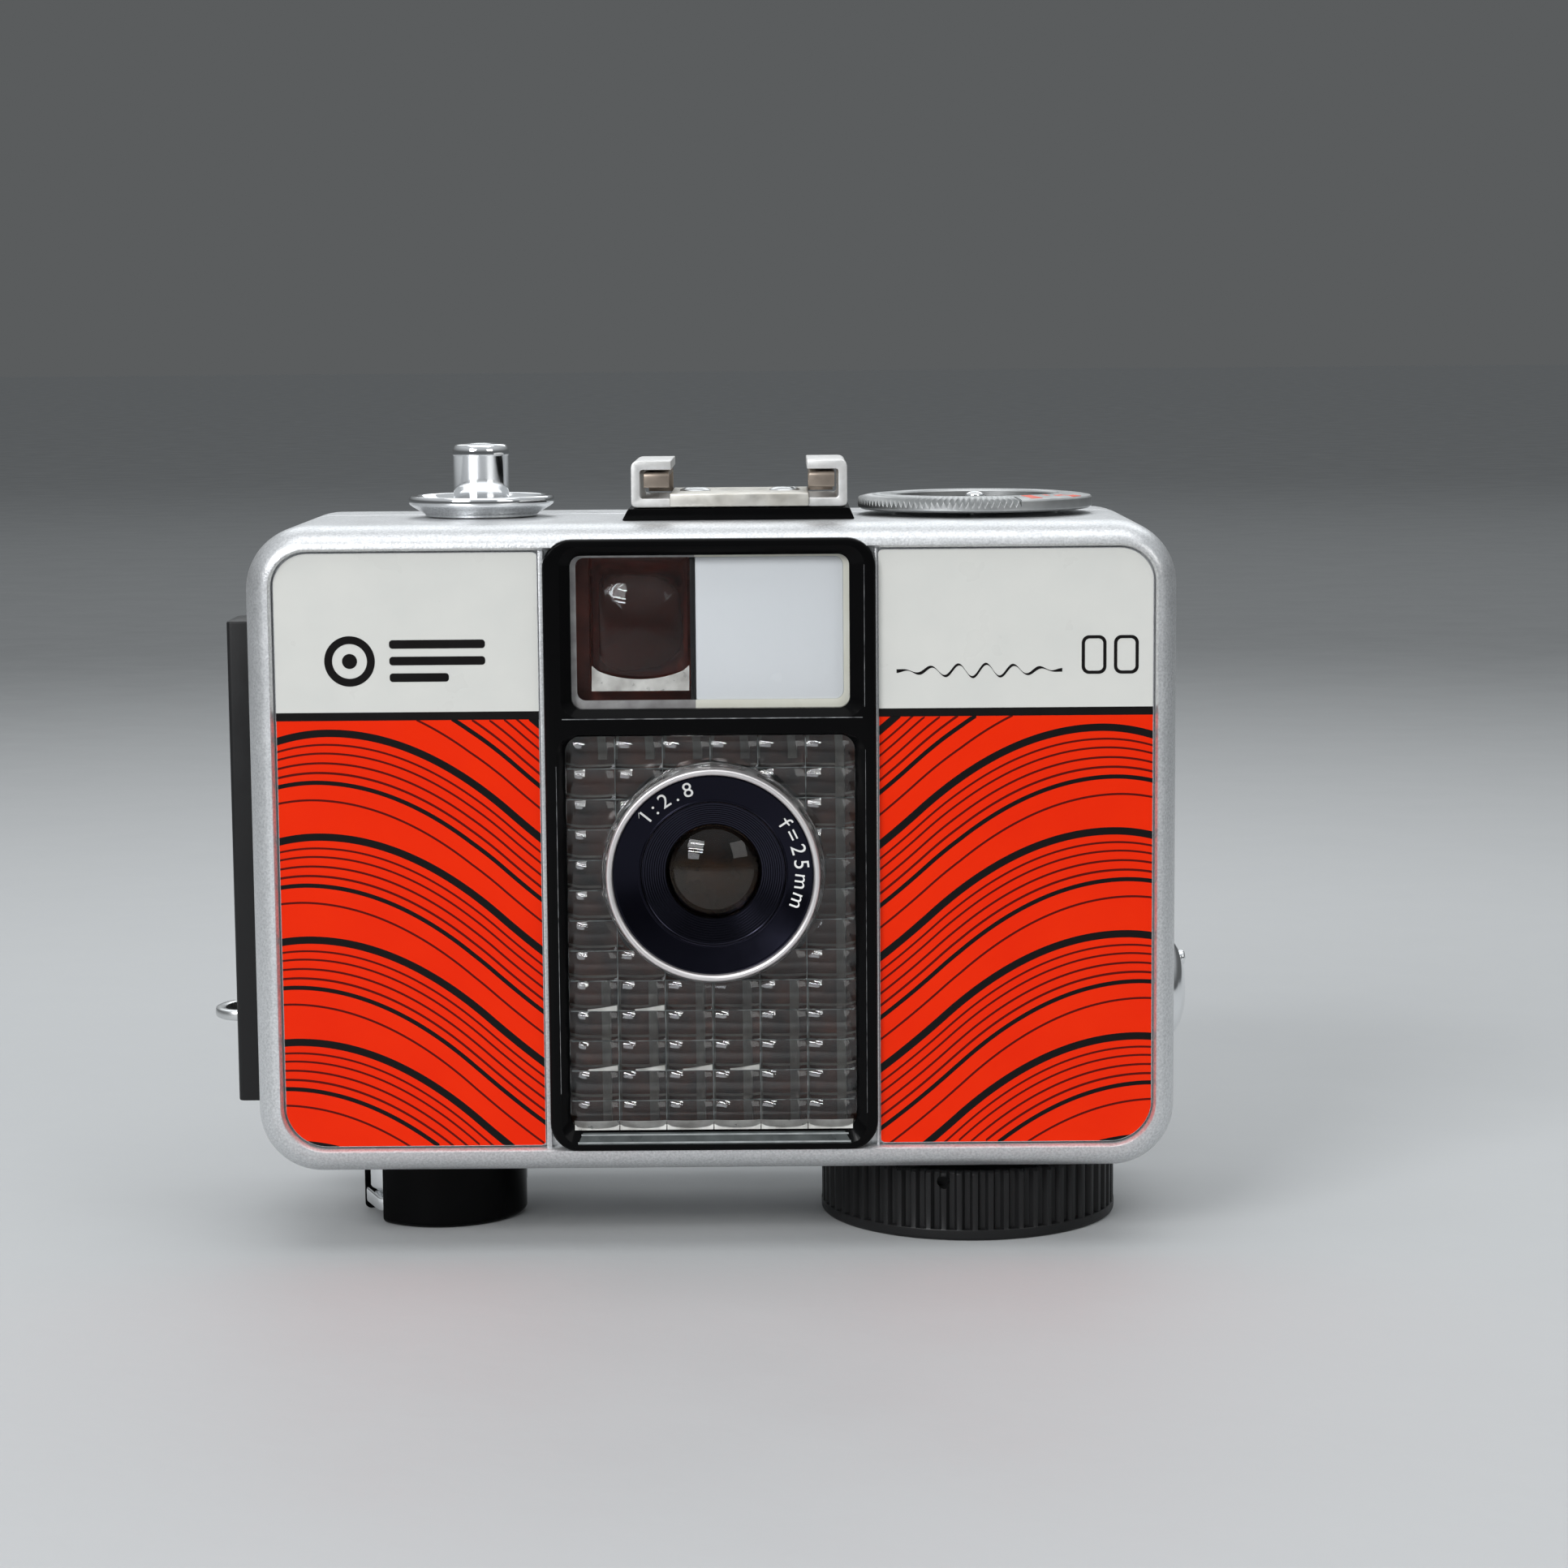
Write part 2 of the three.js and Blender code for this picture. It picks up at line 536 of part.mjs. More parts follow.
// Shutter blade that covers one half of the aperture. Side is +1 for the right-hand pivot, whose blade
// covers the upper half, and -1 for the left-hand one, whose blade covers the lower half.
function shutterBlade(side, y) {
  const lift = side;
  const outline = polygon([
    [side * 8.3, LENS_Z - lift * 0.9],
    [side * 8.3, LENS_Z + lift * 0.9],
    [side * 3, LENS_Z + lift * 3.4],
    [side * -3.4, LENS_Z + lift * 3.4],
    [side * -3.4, LENS_Z - lift * 0.3],
    [side * 5, LENS_Z - lift * 0.9],
  ]);
  return cut(prism("y", outline, y, y + 0.2), rod("y", [side * BLADE_PIVOT, 0, LENS_Z], 0.5, 9, 12, 12));
}

// ---- Top plate controls --------------------------------------------------------------------

// Insulating foot under the shoe, wider at its base.
function shoeBase() {
  const foot = polygon([
    [SHOE.x - 11.05, BODY.height + REST], [SHOE.x + 10.85, BODY.height + REST],
    [SHOE.x + 10.4, SHOE.bottom - REST], [SHOE.x - 10.5, SHOE.bottom - REST],
  ]);
  return cut(
    prism("y", foot, SHOE.front - 0.4, SHOE.back + 0.4),
    ...SHOE_SCREWS.map(([x, y]) => rod("z", [x, y, 0], 1.2, 60, 64)),
  );
}

// Folded steel rails that hold a flash foot.
function shoeRail() {
  const { x, halfWidth, lip, wall, front, back, bottom, top } = SHOE;
  const outer = { left: x - halfWidth, right: x + halfWidth, bottom, top, corner: 0.7 };
  return cut(
    prism("y", roundedRect(outer), front, back, 4),
    prism("y", roundedRect({ ...outer, corner: 0.25 }, -wall), front - 1, back + 1, 2),
    box(x - halfWidth + lip, x + halfWidth - lip, front - 1, back + 1, top - 2, top + 1),
    ...SHOE_SCREWS.map(([sx, sy]) => rod("z", [sx, sy, 0], 1.2, 60, 65)),
  );
}

// Spring liner: a floor plate with two arms that rise at the back and run forward under the lips.
function shoeSpring() {
  const { x, front, back } = SHOE;
  const floor = box(x - 6.5, x + 6.5, front + 0.1, back - 0.1, 63.6, 63.95);
  const arms = [-1, 1].map((side) => {
    const [x0, x1] = [x + side * 6.6, x + side * 9].sort((a, b) => a - b);
    const neck = x + side * 6.4;
    return join(
      box(Math.min(x0, neck), Math.max(x1, neck), back - 1.6, back - 0.6, 63.6, 63.95),
      box(x0, x1, back - 0.95, back - 0.6, 63.6, 65.9),
      box(x0, x1, front + 0.4, back - 0.6, 65.55, 65.9),
      box(x0, x1, front + 0.4, front + 0.75, 64.4, 65.9),
    );
  });
  return cut(
    join(floor, ...arms),
    ...SHOE_SCREWS.map(([sx, sy]) => rod("z", [sx, sy, 0], 1.8, 63, 65)),
  );
}

const shoeScrew = ([x, y]) => join(
  rod("z", [x, y, 0], 1.5, 63.6, 63.95, 16),
  rod("z", [x, y, 0], 0.9, 59.6, 63.7, 16),
);

// Saucer-shaped collar that keeps a finger off the top plate.
const releaseCollar = () => turned("z", [
  [3.1, BODY.height + REST], [5.5, BODY.height + REST], [7.06, 62.65], [7.06, 63.3], [6.85, 63.5],
  [6.4, 63.5], [5.6, 62.9], [3.1, 62.75],
], [BUTTON.x, MID_Y, 0], 24);

// Button with a lipped cap, a cable-release bore, a stop flange and a pushing stem.
const releaseButton = () => turned("z", [
  [0, 55.8], [1.2, 55.8], [1.2, 58.8], [3.9, 58.8], [3.9, 59.6], [BUTTON.r, 59.6],
  [BUTTON.r, BUTTON.top - 0.95], [BUTTON.capR, BUTTON.top - 0.75], [BUTTON.capR, BUTTON.top - 0.45],
  [BUTTON.capR - 0.5, BUTTON.top], [1.1, BUTTON.top], [0.9, BUTTON.top - 3.5], [0, BUTTON.top - 3.5],
], [BUTTON.x, MID_Y, 0], 20);

// Compressed coil spring under the button's flange.
function releaseSpring() {
  const turns = 3;
  const steps = 10 * turns;
  const points = [];
  for (let i = 0; i <= steps; i += 1) {
    const angle = (2 * Math.PI * i * turns) / steps;
    const z = 54.6 + (2.2 * i) / steps;
    points.push(new THREE.Vector3(BUTTON.x + 2.1 * Math.cos(angle), MID_Y + 2.1 * Math.sin(angle), z));
  }
  const wire = new THREE.Shape();
  wire.absarc(0, 0, 0.2, 0, 2 * Math.PI);
  return solidFrom(new THREE.ExtrudeGeometry(wire, {
    steps,
    extrudePath: new THREE.CatmullRomCurve3(points),
    bevelEnabled: false,
    curveSegments: 2,
  }));
}

// Knurled setting ring: a cone with radial V grooves, smooth where its marks are.
function dialRing() {
  const blank = turned("z", [
    [DIAL.innerR, 61.9], [11.2, 61.9], [DIAL.r, 62.05], [DIAL.r, 62.6], [8.6, 63.4], [DIAL.innerR, 63.4],
  ], [0, 0, 0], 36);
  const slope = Math.atan2(0.8, DIAL.r - 8.6);
  const vee = prism("x", polygon([[-0.45, 0.5], [0, -0.35], [0.45, 0.5]]), 8.7, 12.5);
  const groove = vee.translate([-8.6, 0, 0]).rotate([0, (slope * 180) / Math.PI, 0]).translate([8.6, 0, 63.35]);
  const grooves = [];
  for (let i = 0; i < DIAL.grooves; i += 1) {
    const angle = DIAL.from + ((DIAL.to - DIAL.from) * i) / (DIAL.grooves - 1) - 90;
    grooves.push(groove.rotate([0, 0, angle]));
  }
  return cut(blank, ...grooves).translate([DIAL.x, MID_Y, 0]);
}

const dialDisc = () => turned("z", [
  [1.2, 61.9], [7.7, 61.9], [7.7, 62.5], [7.4, 62.7], [1.2, 62.7],
], [DIAL.x, MID_Y, 0], 24);

// Dial shaft with its bright head and, under the top plate, the snail cam that sets the aperture.
function dialShaft() {
  const points = [];
  const steps = 16;
  for (let i = 0; i < steps; i += 1) {
    const angle = (2 * Math.PI * i) / steps;
    const r = 3.2 + (1.8 * i) / (steps - 1);
    points.push([DIAL.x + r * Math.cos(angle), MID_Y + r * Math.sin(angle)]);
  }
  const shaft = turned("z", [
    [0, 56.4], [0.9, 56.4], [0.9, 62.8], [1.7, 62.8], [1.7, 63], [1, 63.4], [0, 63.5],
  ], [DIAL.x, MID_Y, 0], 12);
  return join(shaft, prism("z", polygon(points), 57, 58.2));
}

// ---- Winder, film transport and rewind ------------------------------------------------------

// Thin-toothed spur gear with a bore; phase is the angle of one tooth in radians.
function gear(teeth, x, y, boreR, phase) {
  const pitchR = (MODULE * teeth) / 2;
  const step = (2 * Math.PI) / teeth;
  const profile = [
    [-0.28, pitchR - 1.1 * MODULE],
    [0, pitchR + 0.5 * MODULE],
    [0.28, pitchR - 1.1 * MODULE],
  ];
  const points = [];
  for (let i = 0; i < teeth; i += 1) {
    for (const [share, r] of profile) {
      const angle = phase + (i + share) * step;
      points.push([r * Math.cos(angle), r * Math.sin(angle)]);
    }
  }
  const blank = prism("z", polygon(points), ...GEAR_Z).translate([x, y, 0]);
  return cut(blank, rod("z", [x, y, 0], boreR, 0, 9, 12));
}

// Places the idler where it meshes with both other gears, and finds each gear's tooth phase.
function gearTrain() {
  const [r1, r2, r3] = [TEETH.spool, TEETH.idler, TEETH.sprocket].map((n) => (MODULE * n) / 2);
  const base = new THREE.Vector2(SPROCKET.x - WINDER.x, SPROCKET.y - MID_Y);
  const span = base.length();
  const along = ((r1 + r2) ** 2 - (r2 + r3) ** 2 + span ** 2) / (2 * span);
  const aside = Math.sqrt((r1 + r2) ** 2 - along ** 2);
  const unit = base.clone().divideScalar(span);
  const idler = {
    x: WINDER.x + unit.x * along - unit.y * aside,
    y: MID_Y + unit.y * along + unit.x * aside,
  };
  const toIdler = Math.atan2(idler.y - MID_Y, idler.x - WINDER.x);
  const toSprocket = Math.atan2(SPROCKET.y - idler.y, SPROCKET.x - idler.x);
  const step2 = (2 * Math.PI) / TEETH.idler;
  const step3 = (2 * Math.PI) / TEETH.sprocket;
  const idlerPhase = toIdler + Math.PI + step2 / 2;
  const lead = (toSprocket - idlerPhase) / step2;
  const sprocketPhase = toSprocket + Math.PI + (lead + 0.5) * step3;
  return { idler, spoolPhase: toIdler, idlerPhase, sprocketPhase };
}

const train = gearTrain();
const idlerGear = () => gear(TEETH.idler, train.idler.x, train.idler.y, 1, train.idlerPhase);

// Big ribbed knob with a smooth lower flange and a hollowed underside.
function winderKnob() {
  const centre = [WINDER.x, MID_Y, 0];
  const points = [];
  for (let i = 0; i < WINDER.ribs * 2; i += 1) {
    const angle = (Math.PI * i) / WINDER.ribs;
    const r = i % 2 ? WINDER.r - 0.5 : WINDER.r - 0.05;
    points.push([WINDER.x + r * Math.cos(angle), MID_Y + r * Math.sin(angle)]);
  }
  const flange = turned("z", [
    [0, WINDER.bottom], [WINDER.r - 0.3, WINDER.bottom], [WINDER.r, WINDER.bottom + 0.3],
    [WINDER.r, WINDER.bottom + 1], [0, WINDER.bottom + 1],
  ], centre, 36);
  const ribbed = prism("z", polygon(points), WINDER.bottom + 0.9, WINDER.top);
  return cut(
    join(flange, ribbed),
    rod("z", centre, 11.8, WINDER.bottom - 1, WINDER.bottom + 0.8, 28),
    rod("z", centre, 1.8 + FIT, WINDER.bottom - 1, 0),
    rod("y", [WINDER.x - 3, 0, -1.6], 0.8, 0, 6, 14),
  );
}

const winderArbor = () => join(
  rod("z", [WINDER.x, MID_Y, 0], 1.8, -6.8, 53.8),
  rod("z", [WINDER.x, MID_Y, 0], 3.4, -7.2, -6.7),
);

// Barrel that the film winds on; its lower sleeve carries the drive gear.
const takeUpSpool = () => join(
  turned("z", [
    [2.1, GEAR_Z[0]], [3, GEAR_Z[0]], [3, 6], [7.6, 6], [7.6, 52.4], [6.4, 52.4], [6.4, 7.2], [2.1, 7.2],
  ], [WINDER.x, MID_Y, 0], 20),
  gear(TEETH.spool, WINDER.x, MID_Y, 2.5, train.spoolPhase),
);

// Spiral ribbon between the arbor and the barrel.
function mainspring() {
  const [turns, perTurn, thickness] = [2, 12, 0.35];
  const edge = (offset) => {
    const side = [];
    for (let i = 0; i <= turns * perTurn; i += 1) {
      const angle = (2 * Math.PI * i) / perTurn;
      const r = 2.5 + (3.1 * i) / (turns * perTurn) + offset;
      side.push([WINDER.x + r * Math.cos(angle), MID_Y + r * Math.sin(angle)]);
    }
    return side;
  };
  return prism("z", polygon([...edge(0), ...edge(thickness).reverse()]), 8, 50);
}

// Film sprocket: a shaft with two five-toothed rims at the perforations and its gear below.
function filmSprocket() {
  const centre = [SPROCKET.x, SPROCKET.y, 0];
  const shaft = rod("z", centre, 1.5, GEAR_Z[0], 53.8, 12);
  const drum = rod("z", centre, 2.6, 6, 52.4, 12);
  const rims = [LENS_Z - 14.2, LENS_Z + 14.2].map((z) => {
    const teeth = [0, 1, 2, 3, 4].map((i) =>
      box(2, SPROCKET.r + 0.1, -0.6, 0.6, z - 0.8, z + 0.8).rotate([0, 0, 72 * i + 20]));
    return join(rod("z", [0, 0, 0], SPROCKET.r - 0.6, z - 1.4, z + 1.4, 12), ...teeth).translate(centre);
  });
  return join(shaft, drum, ...rims, gear(TEETH.sprocket, SPROCKET.x, SPROCKET.y, 0.8, train.sprocketPhase));
}

// Turns a solid laid out along X into line with the rewind knob's slot.
const alongSlot = (solid) => solid.rotate([0, 0, REWIND.turn]).translate([REWIND.x, MID_Y, 0]);

// Smooth black knob with a slot that the folded crank lies in.
function rewindKnob() {
  const blank = turned("z", [
    [0, REWIND.bottom], [REWIND.r - 0.4, REWIND.bottom], [REWIND.r, REWIND.bottom + 0.4],
    [REWIND.r, REWIND.top - 0.2], [REWIND.r - 0.2, REWIND.top], [0, REWIND.top],
  ], [0, 0, 0], 28);
  return alongSlot(cut(
    blank,
    box(-5.4, 10, -3.3, 3.3, -9, -1.4),
    box(-10, -5, -3.3, 3.3, -9, -4.3),
  ));
}

// Shaft from the knob up through the chamber floor, ending in a fork for the cartridge.
function rewindShaft() {
  const shaft = rod("z", [0, 0, 0], 2, -0.3, 7.4, 20);
  const fork = box(-1.9, 1.9, -0.6, 0.6, 7.3, 9.6);
  return join(shaft, cut(fork, box(-0.6, 0.6, -2, 2, 8.2, 11))).translate([REWIND.x, MID_Y, 0]);
}

// Folding crank: a flat arm with a round grip post that points into the slot when folded.
function crankArm() {
  const { pivotU, z0, z1, halfWidth, gripU } = CRANK;
  const outline = { left: pivotU - 1, right: 7.6, bottom: -halfWidth, top: halfWidth, corner: 0.8 };
  const grip = turned("z", [
    [0, z1 - 0.1], [1.6, z1 - 0.1], [2.5, -4.4], [2.5, -2.1], [2.2, -1.8], [0, -1.8],
  ], [gripU, 0, 0], 16);
  return alongSlot(join(prism("z", roundedRect(outline), z0, z1, 4), grip));
}

// ---- Underside and back ---------------------------------------------------------------------

const tripodSocket = () => turned("z", [
  [TRIPOD.boreR, 0], [TRIPOD.r, 0], [TRIPOD.r, 8.2], [0, 8.2], [0, 7], [TRIPOD.boreR, 7],
].reverse(), [TRIPOD.x, TRIPOD.y, 0], 20);

const counterWindow = () => rod("z", [COUNTER.x, COUNTER.y, 0], COUNTER.r, 0.1, 0.9, 20);

const counterDial = () => join(
  rod("z", [COUNTER.x, COUNTER.y, 0], 3.9, 1.4, 2, 24),
  rod("z", [COUNTER.x, COUNTER.y, 0], 1, 1.9, 7, 12),
);

const clutchButton = () => join(
  rod("z", [CLUTCH.x, CLUTCH.y, 0], CLUTCH.r, -0.2, 1.4, 20),
  rod("z", [CLUTCH.x, CLUTCH.y, 0], 1, 1.3, 6.5, 16),
);

// Polished plate that holds the film flat against the rails.
const pressurePlate = () => prism("y", roundedRect({
  left: -12, right: 12, bottom: LENS_Z - 17.2, top: LENS_Z + 17, corner: 1.2,
}), FILM_Y + 0.6, FILM_Y + 1.6, 3);

// Bowed leaf between the pressure plate and the back.
function pressureSpring() {
  const bow = [];
  const steps = 8;
  for (let i = 0; i <= steps; i += 1) {
    const share = (2 * i) / steps - 1;
    bow.push([share * 10, FILM_Y + 2.9 + 1.6 * share * share]);
  }
  const outline = [...bow, ...bow.map(([x, y]) => [x, y + 0.3]).reverse()];
  return prism("z", polygon(outline), LENS_Z - 6, LENS_Z + 6);
}

// ---- Materials -----------------------------------------------------------------------------

const material = (color, roughness, metalness, opacity = 1) =>
  new THREE.MeshStandardMaterial({ color, roughness, metalness, opacity, transparent: opacity < 1 });

const satinSilver = () => material(0xc2c4c5, 0.45, 0.6);
const polishedChrome = () => material(0xdfe1e2, 0.12, 1);
const brightSteel = () => material(0xc9cbcb, 0.3, 1);
const printedPanel = () => material(0xe22d05, 0.35, 0);
const glossBlack = () => material(0x0a0a0b, 0.2, 0);
const satinBlack = () => material(0x121314, 0.5, 0);
const blackedMetal = () => material(0x16171a, 0.55, 0.4);
const clearGlass = () => material(0x9fb0b0, 0.05, 0, 0.35);
const whiteDiffuser = () => material(0xd6dce0, 0.35, 0);
const brownCell = () => material(0x2a1612, 0.35, 0.1);
const brass = () => material(0xb08d4c, 0.35, 1);
const springSteel = () => material(0x8d8578, 0.35, 1);
const mirrorGlass = () => material(0xcdd6da, 0.03, 1);

// ---- Assembly ------------------------------------------------------------------------------

const PIECES = {
  front_cover: [frontCover, satinSilver],
  panel_left: [() => panel("left"), printedPanel],
  panel_right: [() => panel("right"), printedPanel],
  front_bezel: [frontBezel, glossBlack],
  back_door: [backDoor, satinSilver],
  door_covering: [doorCovering, satinBlack],
  side_plate: [sidePlate, satinBlack],
  door_leaf: [doorLeaf, satinBlack],
  hinge_pin: [hingePin, brightSteel],
  strap_lug: [strapLug, brightSteel],
  latch_knob: [latchKnob, polishedChrome],
  body_casting: [bodyCasting, blackedMetal],
  window_glazing: [windowGlazing, clearGlass],
  frame_light_window: [frameLightWindow, whiteDiffuser],
  finder_front_lens: [finderFrontLens, clearGlass],
  finder_housing: [finderHousing, satinBlack],
  finder_beam_splitter: [beamSplitter, mirrorGlass],
  finder_frame_mask: [frameMask, blackedMetal],
  eyepiece_frame: [eyepieceFrame, satinBlack],
  eyepiece_lens: [eyepieceLens, clearGlass],
  prism_window: [prismWindow, clearGlass],
  selenium_cell: [seleniumCell, brownCell],
  meter_movement: [meterMovement, brass],
  meter_needle: [meterNeedle, brightSteel],
  lens_ring: [lensRing, polishedChrome],
  name_ring: [nameRing, glossBlack],
  lens_cell: [lensCell, satinBlack],
  front_element: [frontElement, clearGlass],
  middle_element: [middleElement, clearGlass],
  rear_element: [rearElement, clearGlass],
  lens_barrel: [lensBarrel, blackedMetal],
  shutter_plate: [shutterPlate, blackedMetal],
  shutter_blade_upper: [() => shutterBlade(1, 10.1), blackedMetal],
  shutter_blade_lower: [() => shutterBlade(-1, 10.6), blackedMetal],
  shoe_base: [shoeBase, satinBlack],
  shoe_rail: [shoeRail, brightSteel],
  shoe_spring: [shoeSpring, springSteel],
  shoe_screw_left: [() => shoeScrew(SHOE_SCREWS[0]), brightSteel],
  shoe_screw_right: [() => shoeScrew(SHOE_SCREWS[1]), brightSteel],
  release_collar: [releaseCollar, polishedChrome],
  release_button: [releaseButton, polishedChrome],
  release_spring: [releaseSpring, springSteel],
  dial_ring: [dialRing, brightSteel],
  dial_disc: [dialDisc, satinBlack],
  dial_shaft: [dialShaft, polishedChrome],
  winder_knob: [winderKnob, satinBlack],
  winder_arbor: [winderArbor, brightSteel],
  take_up_spool: [takeUpSpool, satinBlack],
  mainspring: [mainspring, springSteel],
  idler_gear: [idlerGear, brass],
  film_sprocket: [filmSprocket, satinBlack],
  rewind_knob: [rewindKnob, glossBlack],
  rewind_shaft: [rewindShaft, brightSteel],
  crank_arm: [crankArm, polishedChrome],
  tripod_socket: [tripodSocket, brightSteel],
  counter_window: [counterWindow, clearGlass],
  counter_dial: [counterDial, whiteDiffuser],
  clutch_button: [clutchButton, brightSteel],
  pressure_plate: [pressurePlate, blackedMetal],
  pressure_spring: [pressureSpring, springSteel],
};

const camera = new THREE.Group();
for (const [name, [shape, finish]] of Object.entries(PIECES)) {
  const mesh = new THREE.Mesh(geometryFrom(shape()), finish());
  mesh.name = name;
  camera.add(mesh);
}

// The lug and the latch stand out unequally, so the box's middle is beside the body's.
const back = BODY.back + COVERING_PROUD;
camera.position.set(-(LUG_OUT + LATCH.out) / 2, -(LENS_FRONT + back) / 2, -WINDER.bottom);

export default camera;
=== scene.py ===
import json
from math import cos, hypot, pi, radians, sin, sqrt

import bmesh
import bpy
from mathutils import Matrix, Vector
from mathutils.geometry import tessellate_polygon


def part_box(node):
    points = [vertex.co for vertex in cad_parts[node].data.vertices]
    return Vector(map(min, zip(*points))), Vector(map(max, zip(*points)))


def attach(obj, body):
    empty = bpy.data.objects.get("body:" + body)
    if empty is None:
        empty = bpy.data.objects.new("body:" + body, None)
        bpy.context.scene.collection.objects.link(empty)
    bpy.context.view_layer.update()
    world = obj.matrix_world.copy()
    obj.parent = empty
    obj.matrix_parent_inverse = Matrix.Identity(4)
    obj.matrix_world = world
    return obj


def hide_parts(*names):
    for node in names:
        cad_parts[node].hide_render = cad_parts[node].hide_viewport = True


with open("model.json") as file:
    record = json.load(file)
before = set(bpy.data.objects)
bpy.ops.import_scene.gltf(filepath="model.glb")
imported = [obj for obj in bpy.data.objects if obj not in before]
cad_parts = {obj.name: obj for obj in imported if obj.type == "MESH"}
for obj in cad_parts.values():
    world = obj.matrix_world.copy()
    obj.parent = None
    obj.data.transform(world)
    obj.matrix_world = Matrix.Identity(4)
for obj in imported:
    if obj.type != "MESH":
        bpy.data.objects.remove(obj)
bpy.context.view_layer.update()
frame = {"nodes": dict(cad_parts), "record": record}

# Shapes are laid out in millimetres from the middle of the body's underside, in the plane of the
# front panels, as the camera's own drawing has it. ORIGIN is that point in the frame.
MM = 0.001
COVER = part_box("front_cover")
ORIGIN = Vector(((COVER[0].x + COVER[1].x) / 2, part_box("panel_left")[0].y, COVER[0].z))

# ---- Outlines and profiles -------------------------------------------------------------------

def rounded(left, right, bottom, top, corners, grow=0.0, steps=10):
    """Loop of (x, z) points round a rectangle; corners are its radii from bottom right, anticlockwise."""
    radii = [max(r + grow, 0.02) for r in ([corners] * 4 if isinstance(corners, (int, float)) else corners)]
    x0, x1, z0, z1 = left - grow, right + grow, bottom - grow, top + grow
    centres = [(x1, z0, -1, 1), (x1, z1, -1, -1), (x0, z1, 1, -1), (x0, z0, 1, 1)]
    loop = []
    for k, (x, z, sx, sz) in enumerate(centres):
        r = radii[k]
        for i in range(steps + 1):
            a = pi / 2 * (k - 1 + i / steps)
            loop.append((x + sx * r + r * cos(a), z + sz * r + r * sin(a)))
    return loop


def soften(points, steps=5):
    """Polyline whose corners (x, y, radius) are rounded off; a corner without a radius stays sharp."""
    result = []
    count = len(points)
    for i, point in enumerate(points):
        x, y, r = (*point, 0.0)[:3]
        if r == 0.0:
            result.append((x, y))
            continue
        here = Vector((x, y))
        before = Vector(points[i - 1][:2]) - here
        after = Vector(points[(i + 1) % count][:2]) - here
        reach = min(r, before.length * 0.49, after.length * 0.49)
        start, end = here + before.normalized() * reach, here + after.normalized() * reach
        for k in range(steps + 1):
            t = k / steps
            result.append(tuple((1 - t) ** 2 * start + 2 * t * (1 - t) * here + t * t * end))
    return result


def facing(loop, y):
    """A flat (x, z) loop stood up at depth y."""
    return [(x, y, z) for x, z in loop]


def lying(loop, z):
    """A flat (x, y) loop laid down at height z."""
    return [(x, y, z) for x, y in loop]


def span(loop, *depths):
    """One (x, z) loop stood up at several depths."""
    return [facing(loop, y) for y in depths]


def tiers(spec, *rows, steps=10):
    """A rounded rectangle's loops from (growth, depth) rows."""
    return [facing(rounded(*spec, grow=grow, steps=steps), y) for grow, y in rows]


def mixed(inner, outer, share):
    return [tuple(a + (b - a) * share for a, b in zip(p, q)) for p, q in zip(inner, outer)]


def circle(x, z, r, sides=64):
    turns = [2 * pi * i / sides for i in range(sides)]
    return [(x + r * cos(a), z + r * sin(a)) for a in turns]


# ---- Meshes ----------------------------------------------------------------------------------

def placed(name, data):
    """Object in the scene over a mesh, curve, light or camera."""
    obj = bpy.data.objects.new(name, data)
    bpy.context.scene.collection.objects.link(obj)
    return obj


def body_of(name, shape, weld=True):
    """Object from a (verts, faces) shape laid out in millimetres."""
    mesh = bpy.data.meshes.new(name)
    mesh.from_pydata([ORIGIN + Vector(v) * MM for v in shape[0]], [], shape[1])
    work = bmesh.new()
    work.from_mesh(mesh)
    if weld:
        bmesh.ops.remove_doubles(work, verts=work.verts, dist=1e-7)
    bmesh.ops.recalc_face_normals(work, faces=work.faces)
    work.to_mesh(mesh)
    work.free()
    return placed(name, mesh)


def piece(name, shape, body, finish, replaces=(), sharp=32, bevel=None):
    """Finished object riding on a body, standing for the CAD nodes that it replaces."""
    obj = body_of(name, shape)
    if bevel:
        edge = obj.modifiers.new("edge", "BEVEL")
        edge.width, edge.segments, edge.limit_method, edge.angle_limit = bevel * MM, 3, "ANGLE", radians(40)
        edge.use_clamp_overlap = True
        applied(obj)
    shade(obj, sharp)
    obj.data.materials.append(finish)
    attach(obj, body)
    if replaces:
        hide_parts(*replaces)
    return obj


def fixed(name, shape, finish, *rest, **more):
    """Piece that stays with the camera's body."""
    return piece(name, shape, "root", finish, *rest, **more)


def shade(obj, sharp):
    obj.data.shade_smooth()
    obj.data.set_sharp_from_angle(angle=radians(sharp))


def applied(obj):
    """Applies the object's modifiers to its mesh."""
    result = bpy.data.meshes.new_from_object(obj.evaluated_get(bpy.context.evaluated_depsgraph_get()))
    obj.modifiers.clear()
    obj.data = result


def carve(obj, *cutters, sharp=32):
    """Cuts closed solids, given as (verts, faces), out of an object."""
    for shape in cutters:
        cutter = body_of("cutter", shape, weld=False)
        step = obj.modifiers.new("cut", "BOOLEAN")
        step.operation, step.object, step.solver = "DIFFERENCE", cutter, "EXACT"
        applied(obj)
        bpy.data.objects.remove(cutter)
    shade(obj, sharp)


def skin(loops, close=False):
    """Quads between successive loops of equal length."""
    n = len(loops[0])
    verts = [v for loop in loops for v in loop]
    faces = []
    rows = len(loops) if close else len(loops) - 1
    for j in range(rows):
        a, b = j * n, ((j + 1) % len(loops)) * n
        faces += [(a + i, a + (i + 1) % n, b + (i + 1) % n, b + i) for i in range(n)]
    return verts, faces


def solid(loops):
    """Closed solid over successive loops with a flat face at each end."""
    verts, faces = skin(loops)
    n = len(loops[0])
    faces.append(tuple(range(n)))
    faces.append(tuple(range(len(verts) - n, len(verts))))
    return verts, faces


